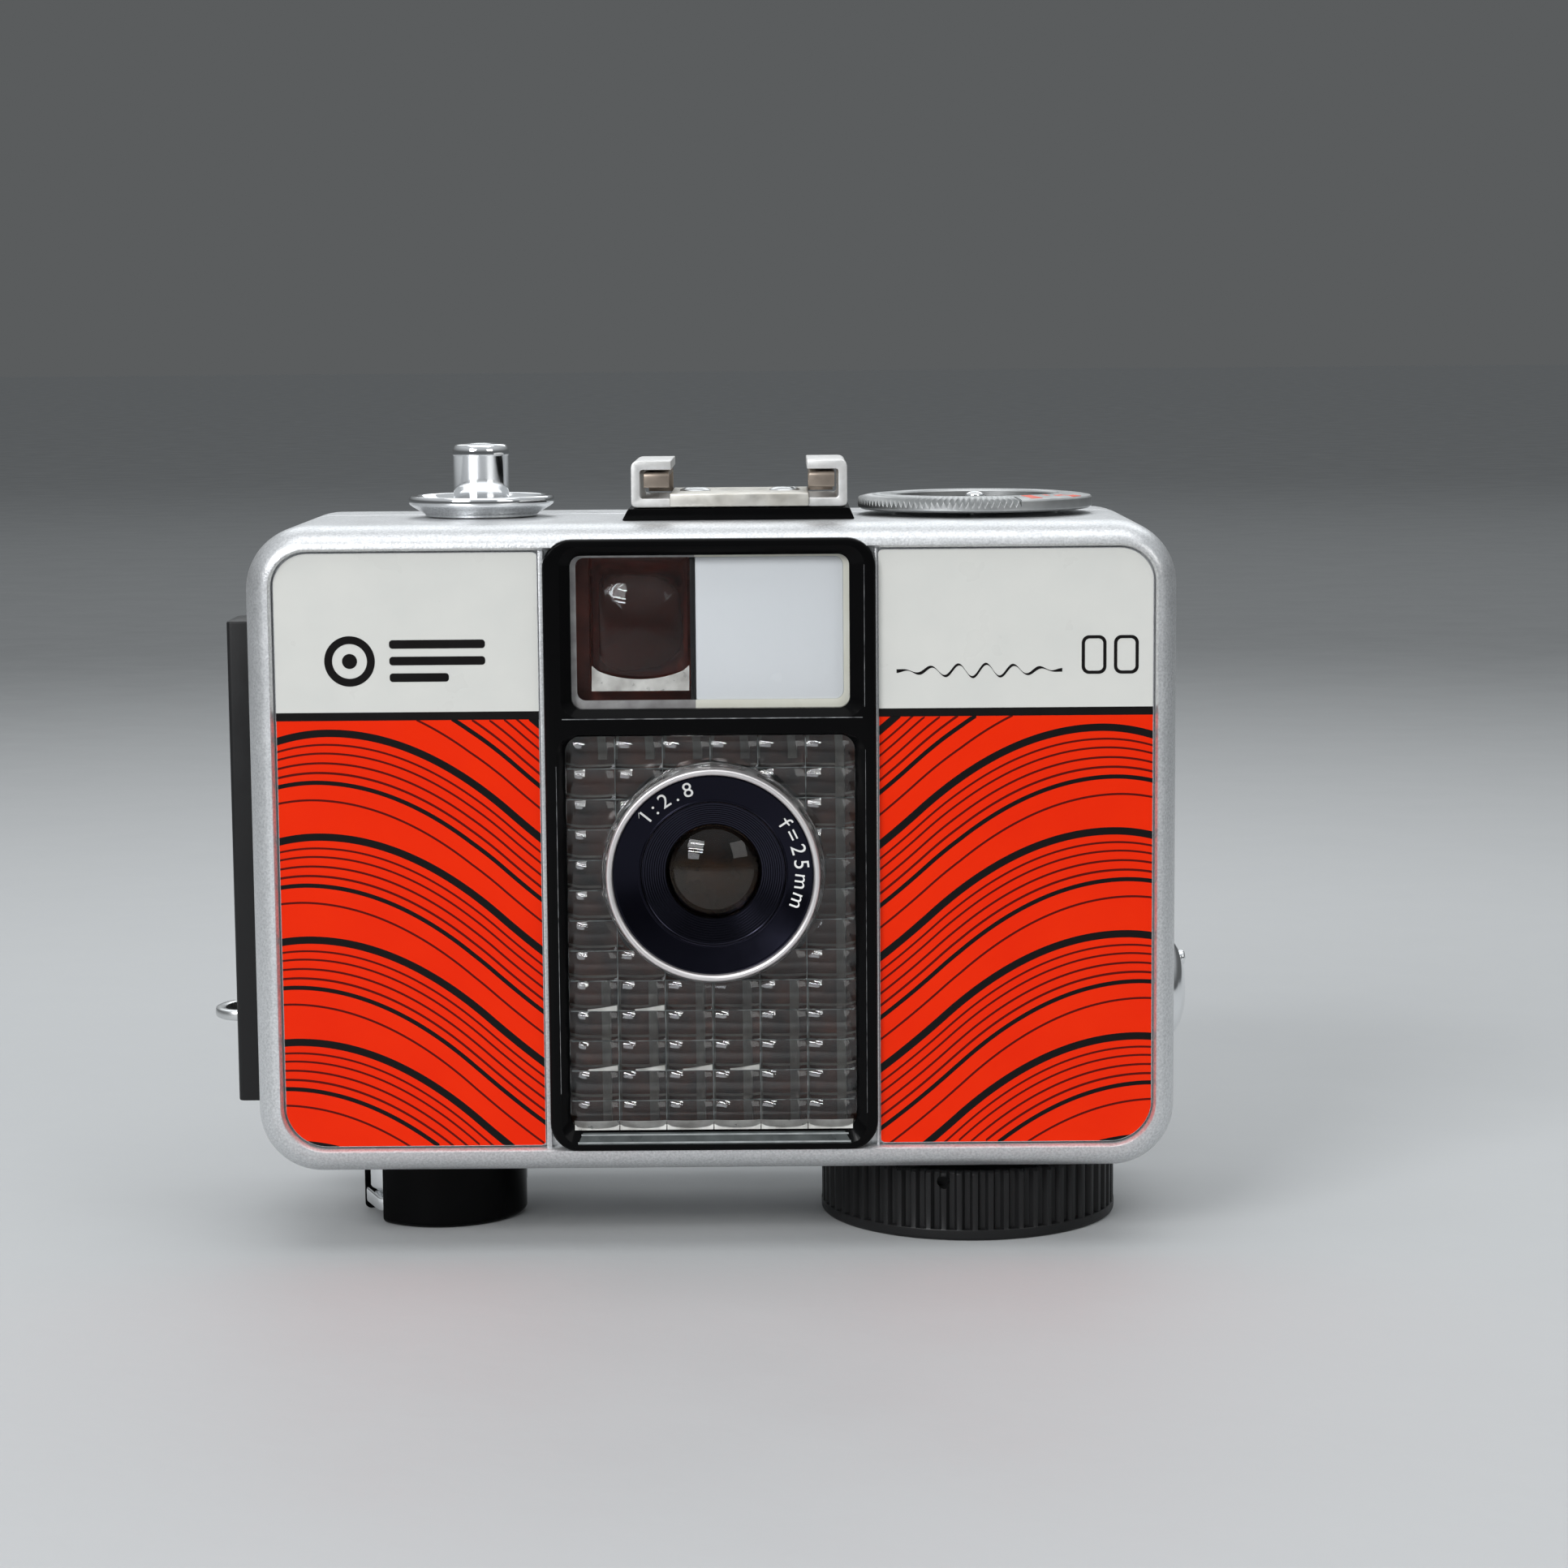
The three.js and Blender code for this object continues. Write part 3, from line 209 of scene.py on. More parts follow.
def plate(loops, holes=()):
    """Closed solid over successive loops, pierced by holes given as their own successive loops."""
    verts, faces = skin(loops)
    starts = [(0, len(verts) - len(loops[0]), len(loops[0]))]
    for hole in holes:
        base = len(verts)
        more, sides = skin(hole)
        verts += more
        faces += [tuple(i + base for i in face) for face in sides]
        starts.append((base, len(verts) - len(hole[0]), len(hole[0])))
    for end in (0, 1):
        index = [s[end] + i for s in starts for i in range(s[2])]
        rings = [[Vector(verts[s[end] + i]) for i in range(s[2])] for s in starts]
        faces += [tuple(index[i] for i in tri) for tri in tessellate_polygon(rings)]
    return verts, faces


def column(loop, z0, z1):
    return solid([lying(loop, z) for z in (z0, z1)])


def block(x0, x1, y0, y1, z0, z1):
    return solid([facing([(x0, z0), (x1, z0), (x1, z1), (x0, z1)], y) for y in (y0, y1)])


AXES = {
    "x": lambda c, r, s, a: (c[0] + s, c[1] + r * cos(a), c[2] + r * sin(a)), "y": lambda c, r, s,
    a: (c[0] + r * cos(a), c[1] + s, c[2] + r * sin(a)), "z": lambda c, r, s, a: (c[0] + r * cos(a),
    c[1] + r * sin(a), c[2] + s)
}


def turned(axis, profile, centre=(0, 0, 0), sides=96, change=None):
    """Solid of revolution from (radius, station) points; change(radius, station, angle) may reshape it."""
    closed = profile[0][0] > 0
    place = AXES[axis]
    rings = []
    for r, s in profile:
        ring = []
        for i in range(sides):
            a = 2 * pi * i / sides
            rr, ss = change(r, s, a) if change else (r, s)
            ring.append(place(centre, rr, ss, a))
        rings.append(ring)
    return skin(rings, close=closed)


def rod(r, low, high):
    """Profile of a plain round rod."""
    return [(0, low), (r, low), (r, high), (0, high)]


def joined(*parts):
    verts, faces = [], []
    for more, sides in parts:
        base = len(verts)
        verts += list(more)
        faces += [tuple(i + base for i in face) for face in sides]
    return verts, faces


def moved(part, turn=0.0, shift=(0, 0, 0)):
    """Turns a part about the upright axis, in degrees, then shifts it."""
    rule = Matrix.Translation(shift) @ Matrix.Rotation(radians(turn), 4, "Z")
    return [tuple(rule @ Vector(v)) for v in part[0]], part[1]


# ---- Materials -------------------------------------------------------------------------------

BY_SLOT = {}  # the first finish of each slot, for the nodes that are carried over


def finish(name, slot, color, roughness, metallic=0.0, grain=None, wear=None, cloud=None, **more):
    """Material with optional fine grain (size mm, height mm), roughness wear (size mm, amount) and
    colour cloud (size mm, second colour, share). A glass is given by its ior."""
    mat = bpy.data.materials.new(name)
    mat.use_nodes = True
    nodes, links = mat.node_tree.nodes, mat.node_tree.links
    shader = nodes["Principled BSDF"]
    shader.inputs["Base Color"].default_value = (*color, 1)
    shader.inputs["Roughness"].default_value = roughness
    shader.inputs["Metallic"].default_value = metallic
    if "ior" in more:
        shader.inputs["Transmission Weight"].default_value = 1.0
    for short, value in more.items():
        shader.inputs[{"ior": "IOR", "specular": "Specular IOR Level", "alpha": "Alpha"}[short]].default_value = value
    place = nodes.new("ShaderNodeTexCoord")

    def noise(size, detail=3.0):
        texture = nodes.new("ShaderNodeTexNoise")
        texture.inputs["Scale"].default_value = 1 / (size * MM)
        texture.inputs["Detail"].default_value = detail
        links.new(place.outputs["Object"], texture.inputs["Vector"])
        return texture.outputs["Fac"]

    def spread(value, low, high, source=(0.3, 0.7)):
        ramp = nodes.new("ShaderNodeMapRange")
        ramp.inputs["From Min"].default_value, ramp.inputs["From Max"].default_value = source
        ramp.inputs["To Min"].default_value, ramp.inputs["To Max"].default_value = low, high
        links.new(value, ramp.inputs["Value"])
        return ramp.outputs["Result"]

    if grain:
        bump = nodes.new("ShaderNodeBump")
        bump.inputs["Distance"].default_value = grain[1] * MM
        bump.inputs["Strength"].default_value = 1.0
        links.new(noise(grain[0], 2.0), bump.inputs["Height"])
        links.new(bump.outputs["Normal"], shader.inputs["Normal"])
    if wear:
        links.new(spread(noise(wear[0]), roughness, roughness + wear[1]), shader.inputs["Roughness"])
    if cloud:
        mix = nodes.new("ShaderNodeMix")
        mix.data_type = "RGBA"
        mix.inputs["A"].default_value = (*color, 1)
        mix.inputs["B"].default_value = (*cloud[1], 1)
        links.new(spread(noise(cloud[0]), 0.0, cloud[2]), mix.inputs["Factor"])
        links.new(mix.outputs["Result"], shader.inputs["Base Color"])
    BY_SLOT.setdefault(slot, mat)
    return mat


SILVER = finish(
    "satin_silver_paint", "satin_silver", (0.8, 0.81, 0.82), 0.34, 0.75, grain=(0.2, 0.02), wear=(3.0, 0.08),
    cloud=(0.22, (0.54, 0.55, 0.56), 0.9)
)
CHROME = finish("polished_chrome", "chrome", (0.86, 0.87, 0.88), 0.06, 1.0, wear=(4.0, 0.08))
RING_METAL = finish(
    "lens_ring_metal", "chrome", (0.82, 0.79, 0.79), 0.33, 0.85, grain=(0.15, 0.004), wear=(2.0, 0.08)
)
STEEL = finish("bright_steel", "steel", (0.66, 0.67, 0.67), 0.24, 1.0, grain=(0.2, 0.004), wear=(2.0, 0.12))
RAIL = finish(
    "shoe_rail_plate", "steel", (0.82, 0.82, 0.81), 0.38, 0.7, grain=(0.15, 0.008), wear=(1.5, 0.15),
    cloud=(0.8, (0.66, 0.65, 0.63), 0.7)
)
DIAL_METAL = finish(
    "dial_aluminium", "satin_aluminium", (0.5, 0.51, 0.51), 0.34, 0.9, grain=(0.12, 0.006), wear=(1.5, 0.1),
    cloud=(1.0, (0.42, 0.43, 0.43), 0.8)
)
GLOSS_BLACK = finish(
    "gloss_black_plastic", "gloss_black", (0.0028, 0.0028, 0.003), 0.1, grain=(1.4, 0.004), wear=(3.0, 0.1),
    specular=0.055
)
SATIN_BLACK = finish(
    "satin_black_plastic", "satin_black", (0.012, 0.012, 0.0125), 0.34, grain=(0.3, 0.006), wear=(3.0, 0.12),
    specular=0.25
)
BLACK_METAL = finish(
    "blackened_metal", "black_metal", (0.01, 0.01, 0.011), 0.4, grain=(0.2, 0.004), wear=(2.0, 0.1), specular=0.3
)
CASTING = finish("cast_black", "black_casting", (0.02, 0.02, 0.022), 0.55, grain=(0.25, 0.02), wear=(2.0, 0.15))
CLEAR = finish("clear_acrylic", "clear_plastic", (0.96, 0.97, 0.97), 0.03, wear=(3.0, 0.03), ior=1.49)
GLAZE = finish("clear_glazing", "clear_plastic", (0.02, 0.02, 0.02), 0.04, wear=(3.0, 0.04), alpha=0.07)
SMOKED = finish("finder_glass", "clear_plastic", (0.86, 0.62, 0.57), 0.01, wear=(3.0, 0.01), ior=1.42)
LENS_GLASS = finish("coated_glass", "lens_glass", (0.82, 0.68, 0.54), 0.005, wear=(2.0, 0.005), ior=1.4)
AMBER_GLASS = finish(
    "amber_coating", "lens_glass", (0.003, 0.0015, 0.001), 0.03, 0.5, wear=(1.5, 0.03),
    cloud=(2.4, (0.024, 0.01, 0.004), 1.0), specular=0.15
)
HALF_MIRROR = finish("silvered_glass", "half_mirror", (0.7, 0.72, 0.74), 0.04, 0.9, wear=(3.0, 0.03))
WHITE_WINDOW = finish(
    "white_window", "white_diffuser", (0.86, 0.89, 0.92), 0.2, wear=(6.0, 0.08), cloud=(9.0, (0.82, 0.86, 0.89), 0.5)
)
CREAM = finish(
    "cream_edge", "white_diffuser", (0.93, 0.93, 0.83), 0.25, wear=(2.0, 0.1), cloud=(3.0, (0.85, 0.83, 0.7), 0.6)
)
CELL = finish(
    "cell_brown", "meter_cell", (0.003, 0.002, 0.002), 0.3, wear=(3.0, 0.15), cloud=(2.5, (0.06, 0.018, 0.009), 1.0),
    specular=0.2
)
BRASS = finish("plain_brass", "brass", (0.55, 0.4, 0.17), 0.3, 1.0, wear=(2.0, 0.15))
SPRING = finish("tempered_steel", "spring_steel", (0.36, 0.3, 0.25), 0.32, 0.8, grain=(0.3, 0.004), wear=(1.5, 0.12))
PANEL_ORANGE = finish(
    "orange_enamel", "printed_panel", (0.86, 0.026, 0.0013), 0.28, grain=(0.8, 0.003), wear=(4.0, 0.1),
    cloud=(8.0, (0.82, 0.02, 0.001), 0.8), specular=0.1
)
PANEL_WHITE = finish(
    "white_enamel", "printed_panel", (0.7, 0.7, 0.665), 0.26, grain=(0.8, 0.003), wear=(4.0, 0.1),
    cloud=(5.0, (0.66, 0.665, 0.635), 0.8), specular=0.3
)
INK_BLACK = finish("black_ink", "printed_panel", (0.005, 0.004, 0.004), 0.35, wear=(2.0, 0.1), specular=0.15)
INK_RED = finish("dark_red_ink", "printed_panel", (0.1, 0.004, 0.002), 0.35, wear=(2.0, 0.1), specular=0.12)
PAINT_WHITE = finish("white_fill", "gloss_black", (0.8, 0.8, 0.78), 0.4, wear=(1.0, 0.1))
PAINT_ORANGE = finish("orange_fill", "satin_aluminium", (0.8, 0.1, 0.05), 0.45, wear=(1.0, 0.1))
COUNTER_WHITE = finish("counter_white", "white_diffuser", (0.75, 0.75, 0.72), 0.4, wear=(2.0, 0.1))


def leatherette():
    """Black embossed leather cloth: rounded cells with creases between them."""
    mat = finish("black_leatherette", "leatherette", (0.014, 0.014, 0.014), 0.36, wear=(1.5, 0.2))
    nodes, links = mat.node_tree.nodes, mat.node_tree.links
    place = nodes.new("ShaderNodeTexCoord")
    cells = nodes.new("ShaderNodeTexVoronoi")
    cells.feature = "SMOOTH_F1"
    cells.inputs["Scale"].default_value = 1 / (1.1 * MM)
    bump = nodes.new("ShaderNodeBump")
    bump.invert = True
    bump.inputs["Distance"].default_value = 0.5 * MM
    links.new(place.outputs["Object"], cells.inputs["Vector"])
    links.new(cells.outputs["Distance"], bump.inputs["Height"])
    links.new(bump.outputs["Normal"], nodes["Principled BSDF"].inputs["Normal"])
    return mat


LEATHER = leatherette()

# ---- Carried-over CAD nodes ------------------------------------------------------------------

for entry in frame["record"]["subparts"]:
    node = frame["nodes"][entry["node"]]
    node.data.materials.clear()
    node.data.materials.append(BY_SLOT[entry["material_slot"]])

# ---- Shell -----------------------------------------------------------------------------------

BODY = (-43.5, 43.5, 0.0, 61.4, 6.0)
RIM_INNER = (-40.75, 41.25, 2.7, 59.1, (4.1, 3.3, 3.3, 4.1))
BEZEL = (-15.6, 15.3, 2.4, 60.1, 2.7)
SEAM = (21.0, 21.3)
EYEPIECE = (-12.4, -2, 47.2, 56.6, 1.4)
TRIPOD, COUNTER, CLUTCH = (-4.5, 15, 0), (-13.4, 8, 0), (5.2, 7.5, 0)


def body_loop(y, inset=0.0):
    return facing(rounded(*BODY, grow=-inset, steps=16), y)


def front_shell():
    inner = rounded(*RIM_INNER, steps=16)
    outer = rounded(*BODY, steps=16)
    loops = [*span(inner, 0.6, -0.1), facing(mixed(inner, outer, 0.02), -0.34)]
    for i in range(13):
        a = pi / 2 * i / 12
        loops.append(facing(mixed(inner, outer, 0.1 + 0.9 * sin(a)), -0.6 + 4.2 * (1 - cos(a))))
    loops += [body_loop(SEAM[0] - 0.15), body_loop(SEAM[0], 0.15), body_loop(SEAM[0], 1.1), body_loop(1.8, 1.1)]
    hole = rounded(*BEZEL, grow=-0.4, steps=8)
    shell = fixed("shell_front", plate(loops, [span(hole, 0.6, 1.8)]), SILVER, ["front_cover"], sharp=40)
    bores = ((5.25, TRIPOD), (3.3, COUNTER), (2.05, CLUTCH))
    carve(shell, *(turned("z", rod(r, -1, 2), place, 48) for r, place in bores), sharp=40)
    for side, (x0, x1) in {"left": (-15.98, -15.5), "right": (15.2, 15.43)}.items():
        fixed(f"panel_divider_{side}", block(x0, x1, -0.12, 0.7, 2.6, 59.2), SILVER, bevel=0.05)


def back_shell():
    frame_loop = rounded(-39.75, 39.75, 3.65, 57.75, 3.1, steps=16)
    window = rounded(-12.9, -1.5, 46.7, 57.1, 1.9, steps=8)
    loops = [body_loop(31.0, 1.1), body_loop(SEAM[1], 1.1), body_loop(SEAM[1], 0.15), body_loop(SEAM[1] + 0.15)]
    for i in range(11):
        a = pi / 2 * i / 10
        loops.append(body_loop(28.9 + 4.0 * sin(a), 2.8 * (1 - cos(a))))
    loops += [facing(frame_loop, 32.9), facing(frame_loop, 32.35)]
    piece("shell_back", plate(loops, [span(window, 31.0, 32.35)]), "door", SILVER, ["back_door"], sharp=40)
    piece("latch_keeper", block(41.2, 42.4, 21.6, 26, 11.5, 17.5), "door", STEEL, bevel=0.2)
    sheet = (-39.6, 39.6, 3.8, 57.6, 3.0)
    loops = tiers(sheet, (0, 32.4), (0, 32.8), (-0.12, 33.02), (-0.4, 33.08), steps=16)
    hole = tiers(EYEPIECE, (1.3, 32.4), (1.3, 32.8), (1.42, 33.02), (1.7, 33.08), steps=8)
    piece("back_leatherette", plate(loops, [hole]), "door", LEATHER, ["door_covering"])


def eyepiece():
    loops = tiers(EYEPIECE, (0, 20.2), (0, 31.5), (-0.2, 31.9), (-0.45, 32.0))
    hole = tiers(EYEPIECE, (-1.05, 20.2), (-1.05, 31.2), (-0.9, 31.6), (-0.7, 32.0))
    fixed("finder_eyepiece", plate(loops, [hole]), SATIN_BLACK, ["eyepiece_frame"])
    outer = rounded(*EYEPIECE, grow=-1.2)
    glass = [facing(outer, 28.7)]
    for share, y in ((0.0, 29.6), (0.25, 29.95), (0.5, 30.2), (0.75, 30.35), (0.93, 30.4)):
        glass.append(facing(mixed(outer, [(-7.2, 51.9)] * len(outer), share), y))
    fixed("eyepiece_glass", solid(glass), CLEAR, ["eyepiece_lens"], sharp=50)


# ---- Front panels and their print ------------------------------------------------------------

PANELS = {
    "left": (-40.6, -16.05, 2.85, 58.95, (0.5, 0.5, 3.2, 4.0)), "right": (15.5, 41.1, 2.85, 58.95, (4.0, 3.2, 0.5,
    0.5))
}
BAND = 44.1  # lower edge of the white band; a black line lies under it
BAND_LINE = 0.75
INK = 0.014
MARK = (-0.03, 0.02)  # depths of a printed mark's face and root
GROUP_PITCH = 9.75
FIRST_LINE = 42.2
LINES = [
    (0.0, 0.7, "thick"), (0.105, 0.19, "thin"), (0.185, 0.19, "thin"), (0.275, 0.2, "thin"), (0.365, 0.22, "thin"),
    (0.456, 0.4, "medium"), (0.62, 0.2, "thin")
]
SPREAD = 0.19  # the lines of a group fan out by this share on their way to the bezel
BEND, STEEP = 17.0, 0.9  # a line curves down over this distance, then runs on at about this slope


def wave_height(group, share, distance):
    """Height of a printed line at a distance from the panel's outer edge; its crest wanders with the group."""
    level = group + share * (1 + SPREAD * min(distance / 18, 1.0))
    run = distance - (4.8 - 1.15 * level)
    past = max(run - BEND, 0.0)
    arc = min(run, BEND)
    fall = (0.0266 if arc > 0 else 0.033) * arc * arc + STEEP * past - 0.012 * past * past
    return FIRST_LINE - GROUP_PITCH * level - fall


def edge_height(spec, x, top):
    """Height of the panel's edge at x, with its rounded corners."""
    left, right, bottom, roof, (br, tr, tl, bl) = spec
    reach_right, reach_left = right - x, x - left
    for reach, r in ((reach_right, tr if top else br), (reach_left, tl if top else bl)):
        if reach < r:
            rise = r - sqrt(max(r * r - (r - reach) ** 2, 0.0))
            return roof - rise if top else bottom + rise
    return roof if top else bottom


def ribbon(points, depth=INK):
    """Closed thin strip from (x, low, high) stations, standing just proud of the panel."""
    verts, faces = [], []
    for x, low, high in points:
        verts += [(x, -depth, low), (x, -depth, high), (x, 0.03, high), (x, 0.03, low)]
    for i in range(len(points) - 1):
        a, b = 4 * i, 4 * i + 4
        faces += [(a + k, a + (k + 1) % 4, b + (k + 1) % 4, b + k) for k in range(4)]
    faces += [(0, 1, 2, 3), tuple(4 * (len(points) - 1) + k for k in range(4))]
    return verts, faces


def printed_panel(side):
    spec = PANELS[side]
    inset = (*spec[:4], tuple(max(r, 0.3) for r in spec[4]))
    loops = tiers(inset, (-0.05, 0.0), (0, 0.04), (0, 0.1), (0, 0.5))
    fixed(f"panel_{side}_plate", plate(loops), SILVER, [f"panel_{side}"])
    left, right = spec[0], spec[1]
    margin = 0.06
    stations = sorted(
        {left + margin + (right - left - 2 * margin) * i / 90 for i in range(91)} | {left + margin + 3.2 * i / 24
        for i in range(25)} | {right - margin - 3.2 * i / 24 for i in range(25)}
    )
    field = [(x, edge_height(spec, x, False) + margin, BAND) for x in stations]
    fixed(f"panel_{side}_orange_field", ribbon(field, 0.008), PANEL_ORANGE)
    band = [(x, BAND, edge_height(spec, x, True) - margin) for x in stations]
    fixed(f"panel_{side}_white_band", ribbon(band, 0.01), PANEL_WHITE)
    line = [(x, BAND - BAND_LINE, BAND + 0.02) for x in (left + 0.04, right - 0.04)]
    fixed(f"panel_{side}_band_line", ribbon(line), INK_BLACK)
    parts = {"thick": [], "medium": [], "thin": []}
    for group in range(-3, 6):
        for share, width, kind in LINES:
            runs = [[]]
            for x in stations:
                distance = x - left if side == "left" else right - x
                middle = wave_height(group, share, distance)
                slope = (wave_height(group, share, distance + 0.1) - wave_height(group, share, distance - 0.1)) / 0.2
                half = width / 2 * sqrt(1 + slope * slope)
                low = max(middle - half, edge_height(spec, x, False) + margin)
                high = min(middle + half, BAND - BAND_LINE + 0.02)
                if high - low > 0.01:
                    runs[-1].append((x, low, high))
                else:
                    runs.append([])
            parts[kind] += [ribbon(run) for run in runs if len(run) > 1]
    for kind, ink in (("thick", INK_BLACK), ("medium", INK_BLACK), ("thin", INK_RED)):
        fixed(f"panel_{side}_{kind}_waves", joined(*parts[kind]), ink)


def emblems():
    """Plain marks where a maker's words would be: an aperture sign, bars and a ruled wave."""
    def bar(x0, x1, z0, z1, r):
        loop = rounded(x0, x1, z0, z1, r, steps=6)
        return solid(span(loop, *MARK))

    x, z = -33.6, 48.9
    ring = plate(span(circle(x, z, 2.35), *MARK), [span(circle(x, z, 1.62), *MARK)])
    dot = solid(span(circle(x, z, 0.7, 32), *MARK))
    bars = [bar(-29.9, -21.0, z + 1.15, z + 1.95, 0.3), bar(-29.9, -21.0, z - 0.4, z + 0.4, 0.3),
            bar(-29.9, -24.4, z - 1.95, z - 1.15, 0.3)]
    fixed("emblem_left", joined(ring, dot, *bars), INK_BLACK)
    stroke = []
    for i in range(121):
        x = 17.2 + 15.4 * i / 120
        z = 47.6 + 0.62 * sin(2 * pi * i / 20) * sin(pi * i / 120)
        half = 0.1 + 0.07 * cos(2 * pi * i / 20)
        stroke.append((x, z - half, z + half))
    frames = []
    for x0, x1 in ((34.4, 36.7), (37.4, 39.7)):
        outer, inner = rounded(x0, x1, 47.2, 50.8, 0.7), rounded(x0 + 0.3, x1 - 0.3, 47.5, 50.5, 0.45)
        frames.append(plate(span(outer, *MARK), [span(inner, *MARK)]))
    fixed("emblem_right", joined(ribbon(stroke, 0.03), *frames), INK_BLACK)


# ---- Bezel and windows -----------------------------------------------------------------------

UPPER = (-13.1, 12.9, 44.2, 58.6, 1.1)
LOWER = (-13.75, 13.35, 4.2, 41.8, 1.5)
UPPER_MOUTH = (-14.0, 14.2, 43.45, 59.4, 1.8)
LOWER_MOUTH = (-14.5, 14.25, 3.0, 42.0, 2.0)


def bezel():
    loops = tiers(BEZEL, (-0.42, -1.0), (-0.2, -0.94), (-0.06, -0.8), (0, -0.5), (0, 2.2))
    holes = [
        tiers(mouth, (0, -1.0), (-0.06, -0.96)) + tiers(spec, (0.04, -0.3), (-0.06, -0.2), (-0.06, 2.2)) for mouth,
        spec in ((UPPER_MOUTH, UPPER), (LOWER_MOUTH, LOWER))
    ]
    fixed("bezel_frame", plate(loops, holes), GLOSS_BLACK, ["front_bezel"], sharp=28)
    # Wear and painted highlights: light grey lines along the chamfers, the divider and the mitres stand for rubbed
    # edges with the light on them.
    wear_and_highlights = [
        block(-13.9, 14.0, -1.025, -0.95, 43.38, 43.46), block(14.18, 14.22, -1.01, -0.9, 44.4, 57.6),
        block(14.24, 14.27, -1.01, -0.9, 6.0, 40.4), block(-14.54, -14.5, -1.01, -0.9, 8.0, 39.0),
        solid([[(14.1, -1.0, 43.5), (14.14, -1.0, 43.58), (14.1, -0.92, 43.54)], [(12.98, -0.28, 44.3), (13.02, -0.28,
        44.38), (12.98, -0.2, 44.34)]])
    ]
    fixed("bezel_wear_and_painted_highlights", joined(*wear_and_highlights), WEAR_AND_HIGHLIGHT)
    # Painted reflection: a greenish grey strip on the lower chamfer for the sky mirrored in it.
    lip = [[(v, y, z) for v in (-13.2, 13.0)] for y, z in ((-0.98, 3.1), (-0.34, 4.12), (-0.3, 4.08), (-0.94, 3.06))]
    fixed("bezel_lower_lip_reflection", strip(lip), LIP_SKY_REFLECTION)
    # Painted highlights: two light lines along the lower chamfer.
    edges = [block(-13.0, 12.7, -1.0, -0.85, 3.2, 3.34), block(-12.7, 12.5, -0.55, -0.4, 3.86, 4.0)]
    fixed("bezel_lower_highlight_lines", joined(*edges), EDGE_HIGHLIGHT)


# Painted reflection: greenish grey with darker patches for the sky mirrored in the lower chamfer.
LIP_SKY_REFLECTION = finish(
    "painted_sky_reflection_lip", "gloss_black", (0.075, 0.085, 0.085), 0.25, 0.3, wear=(1.5, 0.15),
    cloud=(2.0, (0.03, 0.035, 0.035), 0.9)
)
# Painted highlight: light grey, darker in patches, for lines of light on the lower chamfer.
EDGE_HIGHLIGHT = finish(
    "painted_edge_highlight", "gloss_black", (0.5, 0.53, 0.53), 0.3, 0.4, wear=(0.8, 0.2), cloud=(1.6, (0.24, 0.26, 0.26), 0.8)
)
# Wear and painted highlights: light grey, darker in patches, for rubbed chamfer edges catching the light.
WEAR_AND_HIGHLIGHT = finish(
    "wear_and_painted_highlight_edge", "gloss_black", (0.42, 0.43, 0.44), 0.3, 0.6, wear=(0.6, 0.3), cloud=(1.1, (0.06, 0.06, 0.065),
    1.0)
)


WINDOW_SPLIT = -1.5


